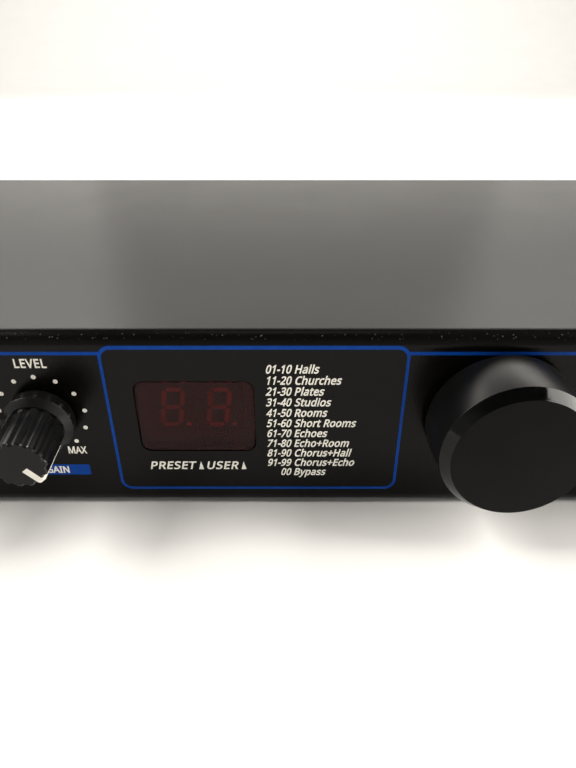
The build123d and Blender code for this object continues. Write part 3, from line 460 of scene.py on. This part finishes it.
def on_back(x, z):
    """Places a shape drawn in X and Y, facing +Z, on the rear panel, upright when seen from behind."""
    turn = Matrix.Rotation(pi, 4, "Z") @ Matrix.Rotation(pi / 2, 4, "X")
    return Matrix.Translation((x, CASE_BACK, z)) @ turn


def slab(bm, outline, place, thickness=INK):
    """A thin solid with the given outline of (x, y) points, standing out of the panel."""
    low = [bm.verts.new(place @ Vector((x, y, 0))) for x, y in outline]
    high = [bm.verts.new(place @ Vector((x, y, thickness))) for x, y in outline]
    count = len(outline)
    bm.faces.new(high)
    bm.faces.new(low[::-1])
    for i in range(count):
        j = (i + 1) % count
        bm.faces.new((low[i], low[j], high[j], high[i]))


def band(bm, outer, inner, place, thickness=INK):
    """A thin ring between two outlines that have the same number of points."""
    rings = []
    for outline, height in ((outer, 0), (outer, thickness), (inner, thickness), (inner, 0)):
        rings.append([bm.verts.new(place @ Vector((x, y, height))) for x, y in outline])
    join_rings(bm, rings + rings[:1])


def join_rings(bm, rings):
    for first, second in zip(rings, rings[1:]):
        count = len(first)
        for i in range(count):
            j = (i + 1) % count
            bm.faces.new((first[i], first[j], second[j], second[i]))


def rounded_rectangle(x0, y0, x1, y1, radius, steps=10):
    points = []
    for cx, cy, start in ((x1 - radius, y1 - radius, 0), (x0 + radius, y1 - radius, 90),
                          (x0 + radius, y0 + radius, 180), (x1 - radius, y0 + radius, 270)):
        for i in range(steps + 1):
            angle = radians(start + 90 * i / steps)
            points.append((cx + radius * cos(angle), cy + radius * sin(angle)))
    return points


def disc(radius, steps=24):
    angles = [2 * pi * i / steps for i in range(steps)]
    return [(radius * cos(angle), radius * sin(angle)) for angle in angles]


# ---- lettering --------------------------------------------------------------------------------------
def letter_mesh(text, bold, spacing):
    """The text as a thin closed mesh, its strokes widened by bold on every side, before scaling."""
    curve = bpy.data.curves.new("lettering", "FONT")
    curve.font = LETTER_FONT
    curve.body = text
    curve.bevel_depth = bold
    curve.bevel_resolution = 0
    curve.resolution_u = 4
    curve.space_character = spacing
    maker = bpy.data.objects.new("lettering", curve)
    bpy.context.scene.collection.objects.link(maker)
    bpy.context.view_layer.update()
    mesh = bpy.data.meshes.new_from_object(maker.evaluated_get(bpy.context.evaluated_depsgraph_get()))
    bpy.data.objects.remove(maker)
    bpy.data.curves.remove(curve)
    return mesh


def extent(mesh, axis):
    values = [vertex.co[axis] for vertex in mesh.vertices]
    return min(values), max(values)


def letters(bm, text, place, cap, narrow=1.0, slant=0.0, bold=0.03, align="left", width=None, spacing=1.0):
    """Add raised lettering whose capitals are cap high.

    narrow squeezes it sideways, or width sets the length of the whole line; slant leans it to the right
    and bold widens its strokes.
    """
    plain = letter_mesh("H", bold, spacing)
    base, top = extent(plain, 1)
    bpy.data.meshes.remove(plain)
    mesh = letter_mesh(text, bold, spacing)
    left, right = extent(mesh, 0)
    scale = cap / (top - base)
    squeeze = scale * narrow
    if width is not None:
        squeeze = width / (right - left)
    shift = {"left": left, "middle": (left + right) / 2, "right": right}[align]
    for vertex in mesh.vertices:
        x = (vertex.co.x - shift) * squeeze
        y = (vertex.co.y - base) * scale
        height = INK * (vertex.co.z / bold + 1) / 2
        vertex.co = place @ Vector((x + slant * y, y, height))
    bm.from_mesh(mesh)
    bpy.data.meshes.remove(mesh)


# ---- round shapes -------------------------------------------------------------------------------------
def rounded_profile(corners, steps=5):
    """Profile of (radius, height, rounding) corners with each corner rounded by an arc."""
    points = []
    count = len(corners)
    for i, (r, h, rounding) in enumerate(corners):
        here = Vector((r, h))
        before = Vector(corners[i - 1][:2]) - here
        after = Vector(corners[(i + 1) % count][:2]) - here
        if rounding == 0 or before.length == 0 or after.length == 0:
            points.append(here)
            continue
        before.normalize()
        after.normalize()
        half = before.angle(after) / 2
        reach = rounding / tan(half)
        start = here + before * reach
        centre = here + (before + after).normalized() * (rounding / sin(half))
        first = start - centre
        sweep = pi - 2 * half
        side = 1 if before.x * after.y - before.y * after.x < 0 else -1
        for k in range(steps + 1):
            angle = side * sweep * k / steps
            points.append(centre + Vector((first.x * cos(angle) - first.y * sin(angle),
                                           first.x * sin(angle) + first.y * cos(angle))))
    return points


def ring_of(bm, place, segments, radius_at, height):
    """A ring of vertices round the Z axis whose radius may depend on the angle."""
    ring = []
    for i in range(segments):
        angle = 2 * pi * i / segments
        r = radius_at(angle)
        ring.append(bm.verts.new(place @ Vector((r * cos(angle), r * sin(angle), height))))
    return ring


def bridge(bm, first, second, segments):
    """Faces between two rings; a ring of one vertex is a point on the axis."""
    for i in range(segments):
        j = (i + 1) % segments
        corners = []
        for ring, index in ((first, i), (first, j), (second, j), (second, i)):
            vertex = ring[index % len(ring)]
            if vertex not in corners:
                corners.append(vertex)
        bm.faces.new(corners)


def turned_rings(bm, profile, place, segments):
    """A ring for each (radius, height) of the profile; a point on the Z axis is a single vertex."""
    rings = []
    for r, h in profile:
        if r < 1e-7:
            rings.append([bm.verts.new(place @ Vector((0, 0, h)))])
        else:
            rings.append(ring_of(bm, place, segments, lambda angle: r, h))
    return rings


def bridge_all(bm, rings, segments):
    for first, second in zip(rings, rings[1:]):
        bridge(bm, first, second, segments)


# ---- stage, light and camera ---------------------------------------------------------------------------
def sweep_floor(material):
    """A pale floor that curves up into a backdrop far behind the unit."""
    near = -2.5
    far = 2.6
    half = 4.0
    rise = 1.2
    backdrop_top = 3.2
    steps = 12
    profile = [(near, 0.0), (far - rise, 0.0)]
    for i in range(1, steps + 1):
        angle = pi / 2 * i / steps
        profile.append((far - rise + rise * sin(angle), rise - rise * cos(angle)))
    profile.append((far, backdrop_top))

    def build(bm):
        rows = [[bm.verts.new((x, y, PANEL_BOTTOM + z)) for x in (-half, half)] for y, z in profile]
        for low, high in zip(rows, rows[1:]):
            bm.faces.new((low[0], low[1], high[1], high[0]))

    mesh = clean_mesh("floor", build)
    for polygon in mesh.polygons:
        polygon.use_smooth = True
    mesh.materials.append(material)
    floor = bpy.data.objects.new("floor", mesh)
    bpy.context.scene.collection.objects.link(floor)


WARM_WHITE = (1.0, 0.965, 0.90)      # colour of the lamps


def soft_light(name, azimuth, height, distance, width, tall, power, target=(0, 0, 0)):
    """A rectangular softbox round the target: azimuth from behind (0) to the right (90), in degrees."""
    lamp = bpy.data.lights.new(name, "AREA")
    lamp.shape = "RECTANGLE"
    lamp.size = width
    lamp.size_y = tall
    lamp.energy = power
    lamp.color = WARM_WHITE
    light = bpy.data.objects.new(name, lamp)
    flat = cos(radians(height))
    reach = Vector((sin(radians(azimuth)) * flat, cos(radians(azimuth)) * flat, sin(radians(height))))
    light.location = Vector(target) + reach * distance
    light.rotation_euler = (-reach).to_track_quat("-Z", "Y").to_euler()
    light.visible_camera = False
    bpy.context.scene.collection.objects.link(light)


def sky():
    """Dim surroundings, brightest near the horizon and almost dark overhead."""
    world = bpy.data.worlds.new("sky")
    world.use_nodes = True
    tree = world.node_tree
    background = tree.nodes["Background"]
    background.inputs["Color"].default_value = (1.0, 0.985, 0.95, 1)
    direction = add(tree, "ShaderNodeTexCoord").outputs["Generated"]
    parts = add(tree, "ShaderNodeSeparateXYZ")
    tree.links.new(direction, parts.inputs["Vector"])
    strength = remap(tree, parts.outputs["Z"], low=0.50, high=0.05, from_low=0.30, from_high=0.75)
    tree.links.new(strength, background.inputs["Strength"])
    bpy.context.scene.world = world


# azimuth and height in degrees, then distance, width and tallness in metres, and power in watts
SOFTBOXES = {
    "rear_left": (-31, 15, 1.2, 0.5, 0.35, 0.23),
    "rear_right": (33, 13, 1.2, 0.5, 0.30, 0.15),
    "rear_strip": (0, 31, 1.2, 2.0, 0.3, 4.4),
    "rear_near_left": (-40, 31, 1.2, 0.8, 0.3, 1.6),
    "rear_near_right": (40, 29, 1.2, 0.8, 0.3, 1.25),
    "left_side": (-85, 42, 1.2, 0.5, 0.5, 14.7),
    "right_side": (90, 31, 1.1, 0.56, 0.75, 16.5),
    "overhead": (0, 80, 1.3, 0.6, 0.5, 0.9),
}
BACKDROP_LIGHT = (180, 38, 1.5, 2.6, 0.6, 17.0)
BACKDROP_AIM = (0.0, 2.5, 0.1)


def studio():
    sky()
    for name, setting in SOFTBOXES.items():
        soft_light(name, *setting)
    soft_light("backdrop", *BACKDROP_LIGHT, BACKDROP_AIM)
    bpy.context.scene.view_settings.view_transform = "Standard"


CAMERA_PLACE = (0.0, -0.10271, 0.07021)
CAMERA_PITCH = 30.56                 # degrees below the horizon
CAMERA_LENS = 26.78                  # focal length in mm
SENSOR_WIDTH = 36.0                  # longer side of the sensor in mm


def camera():
    data = bpy.data.cameras.new("camera")
    data.lens = CAMERA_LENS
    data.sensor_width = SENSOR_WIDTH
    data.clip_start = 0.002
    data.clip_end = 50.0
    eye = bpy.data.objects.new("camera", data)
    eye.location = CAMERA_PLACE
    eye.rotation_euler = (radians(90 - CAMERA_PITCH), 0, 0)
    bpy.context.scene.collection.objects.link(eye)
    bpy.context.scene.camera = eye


# ---- programme knob -----------------------------------------------------------------------------------
DIAL_TAPER = 0.35 * MM               # how much smaller the radius is at the rim than at the foot,
DIAL_BEVEL = 2.0 * MM                # and at the face than at the foot
BEVEL_HEIGHT = 2.2 * MM
DIAL_WALL = 1.8 * MM
DIAL_CEILING = 0.3 * MM              # from the rim back to the end of the hollow
DIAL_SEGMENTS = 160


def program_dial():
    """The large knob: satin side, polished bevel and matt face, hollow behind."""
    low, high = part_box("program_knob")
    radius = (high.x - low.x) / 2
    base = PANEL_FRONT - high.y
    top = PANEL_FRONT - low.y
    rim = top - BEVEL_HEIGHT
    rim_radius = radius - DIAL_TAPER
    ceiling = rim - DIAL_CEILING
    outer = rounded_profile([(radius, base, 0.25 * MM), (rim_radius, rim, 0.20 * MM),
                             (radius - DIAL_BEVEL, top, 0.14 * MM), (0, top, 0)])
    inner = [Vector((0, ceiling)), Vector((rim_radius - DIAL_WALL, ceiling)),
             Vector((radius - DIAL_WALL, base))]
    place = on_panel(DIAL_X, CONTROL_Z)

    def build(bm):
        bridge_all(bm, turned_rings(bm, inner + outer, place, DIAL_SEGMENTS), DIAL_SEGMENTS)

    side, polish, face = dial_side(), dial_polish(), dial_face()
    mesh = clean_mesh("program_dial", build)
    piece = new_piece("program_dial", mesh, side, "program_control", smooth_angle=40)
    mesh.materials.append(polish)
    mesh.materials.append(face)
    face_from = top - 0.08 * MM
    bevel_from = rim + 0.02 * MM
    for polygon in mesh.polygons:
        height = PANEL_FRONT - polygon.center.y
        if height > face_from:
            polygon.material_index = 2
        elif height > bevel_from:
            polygon.material_index = 1
    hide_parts("program_knob")


# ---- small knobs ----------------------------------------------------------------------------------------
KNOB_FLUTES = 14
FLUTE_SEGMENTS = 24
FLUTE_RADIUS = 1.05 * MM
FLUTE_DEPTH = 0.42 * MM
SKIRT_FOOT = 1.2 * MM                # heights in front of the panel
SKIRT_TOP = 4.2 * MM
GRIP_FOOT = 5.5 * MM
HOLLOW_END = 4.0 * MM
BORE_END = 13.5 * MM
SKIRT_FOOT_EDGE = 7.0 * MM           # radii
SKIRT_TOP_EDGE = 7.25 * MM
SKIRT_INNER_EDGE = 5.9 * MM
FOOT_EDGE = 5.7 * MM
FACE_EDGE = 5.4 * MM
HOLLOW_EDGE = 6.0 * MM
BORE_EDGE = 3.05 * MM
GRIP_CHAMFER = 0.32 * MM
POINTER_START = 1.4 * MM             # the inlay's distance from the knob's axis
POINTER_HALF = 0.68 * MM
LEVEL_LEAN = 5.0                     # degrees that the level knob leans on its shaft
LEAN_TOWARDS = (0.8, -0.6)           # right and down, as seen from the front


def pointer_turn(name):
    """How far clockwise from the top a knob's pointer stands at rest: its travel is centred on the top."""
    for joint in frame["record"]["behaviour"]["joints"]:
        if joint["name"] == name + "_turn":
            return radians(sum(joint["range_deg"]) / 2)


def fluted_radius(edge, angle):
    """Radius of the grip at an angle: a circle with a rounded groove between each pair of ribs."""
    pitch = 2 * pi / KNOB_FLUTES
    offset = (angle - pi / 2) % pitch - pitch / 2
    centre = edge + FLUTE_RADIUS - FLUTE_DEPTH
    inside = FLUTE_RADIUS ** 2 - (centre * sin(offset)) ** 2
    if inside <= 0:
        return edge
    groove = centre * cos(offset) - sqrt(inside)
    soft = 0.05 * MM
    blend = max(soft - abs(edge - groove), 0) / soft
    return min(edge, groove) - blend ** 2 * soft / 4


def small_knob_mesh(bm, place, top):
    """A hollow knob from its bore outward: skirt, fluted grip that tapers to the face, and the face."""
    inner = [(0, BORE_END), (BORE_EDGE, BORE_END), (BORE_EDGE, HOLLOW_END), (HOLLOW_EDGE, HOLLOW_END)]
    skirt = rounded_profile([(HOLLOW_EDGE, SKIRT_FOOT, 0), (SKIRT_FOOT_EDGE, SKIRT_FOOT, 0.15 * MM),
                             (SKIRT_TOP_EDGE, SKIRT_TOP, 0.10 * MM), (SKIRT_INNER_EDGE, GRIP_FOOT, 0)])
    segments = KNOB_FLUTES * FLUTE_SEGMENTS
    rings = turned_rings(bm, inner + [tuple(p) for p in skirt], place, segments)
    rim = top - GRIP_CHAMFER
    # how far each ring of the grip is cut back, and its height; the later ones round the face's edge
    rows = [(0.0, GRIP_FOOT), (0.0, rim - 0.08 * MM), (0.02 * MM, rim), (0.26 * MM, top - 0.05 * MM),
            (0.34 * MM, top), (0.45 * MM, top)]
    for cut_back, h in rows:
        share = (h - GRIP_FOOT) / (top - GRIP_FOOT)
        edge = FOOT_EDGE + (FACE_EDGE - FOOT_EDGE) * share
        rings.append(ring_of(bm, place, segments, lambda angle: fluted_radius(edge, angle) - cut_back, h))
    rings.append([bm.verts.new(place @ Vector((0, 0, top)))])
    bridge_all(bm, rings, segments)


def pointer_mesh(bm, place, top):
    """White inlay across the face, over its edge and down the side, pointing along +Y."""
    lift = 0.05 * MM
    proud = 0.22 * MM
    foot = GRIP_FOOT + 0.1 * MM
    root = top - 0.6 * MM
    outline = [(POINTER_START, top + lift), (FACE_EDGE - GRIP_CHAMFER, top + lift),
               (FACE_EDGE + proud, top - GRIP_CHAMFER), (FOOT_EDGE + proud, foot),
               (FOOT_EDGE - 0.5 * MM, foot), (FACE_EDGE - 0.7 * MM, root), (POINTER_START, root)]
    sides = [[bm.verts.new(place @ Vector((x, r, h))) for r, h in outline]
             for x in (-POINTER_HALF, POINTER_HALF)]
    bm.faces.new(sides[0])
    bm.faces.new(sides[1][::-1])
    for i in range(len(outline)):
        j = (i + 1) % len(outline)
        bm.faces.new((sides[0][i], sides[0][j], sides[1][j], sides[1][i]))
    bmesh.ops.bevel(bm, geom=bm.edges[:], offset=0.05 * MM, segments=2, affect="EDGES")


def small_knobs():
    grip, face, white = grip_plastic(), knob_face(), pointer_white()
    for name, x in KNOBS.items():
        top = PANEL_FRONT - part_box(name + "_knob")[0].y
        place = on_panel(x, CONTROL_Z)
        if name == "level":
            axis = Vector((-LEAN_TOWARDS[1], LEAN_TOWARDS[0], 0))
            place = place @ Matrix.Rotation(radians(LEVEL_LEAN), 4, axis)
        place = place @ Matrix.Rotation(-pointer_turn(name), 4, "Z")
        knob = clean_mesh(name + "_grip", lambda bm: small_knob_mesh(bm, place, top))
        pointer = clean_mesh(name + "_inlay", lambda bm: pointer_mesh(bm, place, top))
        body = name + "_control"
        knob_piece = new_piece(name + "_grip", knob, grip, body, smooth_angle=25)
        knob.materials.append(face)
        upright = place.inverted()
        for polygon in knob.polygons:
            if (upright @ polygon.center).z > top - 0.005 * MM:
                polygon.material_index = 1
        pointer_piece = new_piece(name + "_inlay", pointer, white, body, smooth_angle=30)
        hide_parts(name + "_knob")
        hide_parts(name + "_pointer")


# ---- printing ---------------------------------------------------------------------------------------------
FRAME_LEFT = -37.8 * MM
FRAME_RIGHT = 24.2 * MM
FRAME_LOW = PANEL_BOTTOM + 4.6 * MM
FRAME_HIGH = PANEL_BOTTOM + 40.65 * MM
FRAME_CORNER = 2.3 * MM
HIGH_LINE = 0.85 * MM                # widths of the frame's upper, side and lower lines
SIDE_LINE = 0.62 * MM
LOW_LINE = 0.66 * MM
OUTER_LINE = 0.75 * MM
OUTER_LINE_Z = PANEL_BOTTOM + 39.35 * MM
OUTER_LINE_END = 205.0 * MM


def blue_lines(material):
    """The frame round the window and the list, and the line that runs from it to either side.

    The outer lines are a little thinner than the frame's ink, which covers them where the two meet.
    """
    def edge(side):
        """The frame line's outer (+1) or inner (-1) edge."""
        return rounded_rectangle(FRAME_LEFT - side * SIDE_LINE / 2, FRAME_LOW - side * LOW_LINE / 2,
                                 FRAME_RIGHT + side * SIDE_LINE / 2, FRAME_HIGH + side * HIGH_LINE / 2,
                                 FRAME_CORNER + side * SIDE_LINE / 2)

    def build(bm):
        place = on_panel(0, 0)
        band(bm, edge(1), edge(-1), place)
        half = OUTER_LINE / 2
        join = 0.1 * MM
        thickness = 0.9 * INK
        for x0, x1 in ((-OUTER_LINE_END, FRAME_LEFT + join), (FRAME_RIGHT - join, OUTER_LINE_END)):
            slab(bm, [(x0, OUTER_LINE_Z - half), (x1, OUTER_LINE_Z - half), (x1, OUTER_LINE_Z + half),
                      (x0, OUTER_LINE_Z + half)], place, thickness)

    new_piece("blue_panel_lines", clean_mesh("blue_panel_lines", build), material, "case")


PROGRAMMES = ["01-10 Halls", "11-20 Churches", "21-30 Plates", "31-40 Studios", "41-50 Rooms",
              "51-60 Short Rooms", "61-70 Echoes", "71-80 Echo+Room", "81-90 Chorus+Hall",
              "91-99 Chorus+Echo", "00 Bypass"]
LIST_FIRST = PANEL_BOTTOM + 34.77 * MM
LIST_PITCH = 2.645 * MM
LIST_CAP = 2.0 * MM
LIST_NUMBERS = 0.52 * MM             # right end of the numbers
LIST_WORDS = 1.32 * MM               # left end of the words
LIST_NARROW = 0.81
LIST_NUMBERS_NARROW = 0.93 * LIST_NARROW
LIST_SPACING = 1.04
LIST_SLANT = 0.22
LIST_BOLD = 0.026


def programme_list(material):
    """The list beside the window: each row has its numbers to the left of its words."""
    def build(bm):
        for row, line in enumerate(PROGRAMMES):
            numbers, words = line.split(" ", 1)
            z = LIST_FIRST - row * LIST_PITCH
            letters(bm, numbers, on_panel(LIST_NUMBERS, z), LIST_CAP, LIST_NUMBERS_NARROW, LIST_SLANT,
                    LIST_BOLD, "right", spacing=LIST_SPACING)
            letters(bm, words, on_panel(LIST_WORDS, z), LIST_CAP, LIST_NARROW, LIST_SLANT, LIST_BOLD,
                    spacing=LIST_SPACING)

    piece = new_piece("programme_list_print", clean_mesh("programme_list_print", build), material, "case")


LABEL_Z = PANEL_BOTTOM + 10.05 * MM
LABEL_CAP = 2.2 * MM
LABEL_PLACES = {"PRESET": (-30.9 * MM, 10.0 * MM), "USER": (-18.3 * MM, 7.1 * MM)}     # left end, width
ARROW_PLACES = (-19.45 * MM, -9.9 * MM)
ARROW_HALF = 0.57 * MM


def window_labels(material):
    """The two words under the window, each with a small arrowhead that points up after it."""
    def build(bm):
        for word, (x, width) in LABEL_PLACES.items():
            letters(bm, word, on_panel(x, LABEL_Z), LABEL_CAP, width=width, slant=LIST_SLANT, bold=0.022,
                    spacing=1.08)
        for x in ARROW_PLACES:
            slab(bm, [(-ARROW_HALF, 0), (ARROW_HALF, 0), (0, LABEL_CAP)], on_panel(x, LABEL_Z))

    piece = new_piece("window_label_print", clean_mesh("window_label_print", build), material, "case")


SCALE_DOTS = 11
SCALE_END = 140                      # degrees from the top to the first and to the last dot
DOT_CIRCLE = 9.1 * MM
DOT_RADIUS = 0.5 * MM
TITLE_Z = PANEL_BOTTOM + 36.05 * MM
END_MARKS = {"MIN": -5.7 * MM, "MAX": 5.6 * MM}
END_MARK_Z = PANEL_BOTTOM + 14.45 * MM
BAR_Z = PANEL_BOTTOM + 8.5 * MM
BAR_HALF = 7.6 * MM
BAR_HEIGHT = 2.9 * MM
BAR_SHIFT = -0.1 * MM
BAR_LETTER_SHIFT = 0.15 * MM
KNOB_LABELS = {"input": ("INPUT", "LEVEL"), "mix": ("MIX", "BLEND"), "level": ("LEVEL", "GAIN")}


def knob_scales(white, blue):
    """Dots round each knob, its name above, end marks and a blue bar with a label below."""
    dot_step = 2 * SCALE_END / (SCALE_DOTS - 1)
    upright = {"bold": 0.024, "align": "middle"}

    def white_marks(bm):
        for name, x in KNOBS.items():
            for i in range(SCALE_DOTS):
                angle = radians(-SCALE_END + dot_step * i)
                dot = disc(DOT_RADIUS)
                slab(bm, dot, on_panel(x + DOT_CIRCLE * sin(angle), CONTROL_Z + DOT_CIRCLE * cos(angle)))
            title, bar = KNOB_LABELS[name]
            letters(bm, title, on_panel(x, TITLE_Z), 2.1 * MM, 0.83, spacing=1.08, **upright)
            for mark, shift in END_MARKS.items():
                letters(bm, mark, on_panel(x + shift, END_MARK_Z), 1.95 * MM, 0.77, **upright)
            bar_place = on_panel(x + BAR_LETTER_SHIFT, BAR_Z + 0.5 * MM, INK)
            letters(bm, bar, bar_place, 1.9 * MM, 0.88, **upright)

    def blue_bars(bm):
        for x in KNOBS.values():
            outline = rounded_rectangle(-BAR_HALF, 0, BAR_HALF, BAR_HEIGHT, 0.3 * MM, 3)
            slab(bm, outline, on_panel(x + BAR_SHIFT, BAR_Z))

    marks = new_piece("knob_scale_print", clean_mesh("knob_scale_print", white_marks), white, "case")
    new_piece("knob_bar_print", clean_mesh("knob_bar_print", blue_bars), blue, "case")


BUTTON_NAMES = {"bypass": "BYPASS", "edit": "EDIT", "tap": "TAP", "store": "STORE"}
METER_NUMBERS = ["0", "6", "12", "24"]
METER_LIGHT_HALF = 1.45 * MM
NAME_CAP = 1.9 * MM
NAME_NARROW = 0.85
NAME_GAP = 1.4 * MM                  # from a button, light or bezel up to its name
NUMBER_CAP = 1.8 * MM
POWER_MARK_GAP = 3.0 * MM            # from the bezel to the on and off marks
POWER_MARK_SHIFT = 3.6 * MM          # from the rocker's middle up to the on mark, down to the off mark
ON_MARK = (0.2 * MM, 1.1 * MM)       # half its width, half its height
OFF_MARK = (1.15 * MM, 0.8 * MM)     # outer and inner radius
REAR_NAMES = {"input_left_jack": "INPUT L", "input_right_jack": "INPUT R",
              "output_left_jack": "OUTPUT L", "output_right_jack": "OUTPUT R",
              "bypass_switch_jack": "BYPASS", "tap_switch_jack": "TAP",
              "data_in_socket": "DATA IN", "data_out_socket": "DATA OUT",
              "power_inlet_socket": "POWER"}
REAR_NAME_CAP = 2.1 * MM
REAR_NAME_Z = 9.0 * MM


def meter_rows():
    """Heights of the level meter's rows, from the top: a row of red lights, then rows of green ones."""
    green_low, green_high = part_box("green_meter_lights")
    red_low, red_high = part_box("red_meter_lights")
    top = middle("red_meter_lights").z
    pitch = (green_high.z - green_low.z - (red_high.z - red_low.z)) / 2
    return [top - pitch * row for row in range(len(METER_NUMBERS))]


def power_marks(bm):
    """A bar for on and a ring for off, beside the rocker."""
    rocker_z = middle("power_rocker").z
    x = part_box("power_switch_body")[1].x + POWER_MARK_GAP
    half_width, half_height = ON_MARK
    bar = [(-half_width, -half_height), (half_width, -half_height), (half_width, half_height),
           (-half_width, half_height)]
    slab(bm, bar, on_panel(x, rocker_z + POWER_MARK_SHIFT))
    outer, inner = OFF_MARK
    band(bm, disc(outer), disc(inner), on_panel(x, rocker_z - POWER_MARK_SHIFT))


def front_names(material):
    """Names over the buttons and the rocker, numbers between the meter's lights, and power marks."""
    def name_over(bm, text, x, z):
        letters(bm, text, on_panel(x, z + NAME_GAP), NAME_CAP, NAME_NARROW, align="middle")

    def build(bm):
        for name, x in BUTTONS.items():
            name_over(bm, BUTTON_NAMES[name], x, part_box(name + "_button")[1].z)
        meter_x = middle("green_meter_lights").x
        for number, z in zip(METER_NUMBERS, meter_rows()):
            place = on_panel(meter_x, z - NUMBER_CAP / 2)
            letters(bm, number, place, NUMBER_CAP, NAME_NARROW, align="middle")
        low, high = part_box("red_meter_lights")
        name_over(bm, "L", low.x + METER_LIGHT_HALF, high.z)
        name_over(bm, "R", high.x - METER_LIGHT_HALF, high.z)
        name_over(bm, "POWER", middle("power_rocker").x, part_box("power_switch_body")[1].z)
        power_marks(bm)

    piece = new_piece("front_name_print", clean_mesh("front_name_print", build), material, "case")


def rear_names(material):
    """A name over each socket on the rear panel, read from behind."""
    sockets = {mount["name"]: mount["pos_m"] for mount in frame["record"]["mounts"]}

    def build(bm):
        for name, text in REAR_NAMES.items():
            place = on_back(sockets[name][0], REAR_NAME_Z)
            letters(bm, text, place, REAR_NAME_CAP, NAME_NARROW, align="middle")

    piece = new_piece("rear_name_print", clean_mesh("rear_name_print", build), material, "case")


def main():
    dress_cad_nodes()
    white, blue = white_ink(), blue_ink()
    program_dial()
    small_knobs()
    blue_lines(blue)
    programme_list(white)
    window_labels(white)
    knob_scales(white, blue)
    front_names(white)
    rear_names(white)
    sweep_floor(paper_white())
    studio()
    camera()


main()
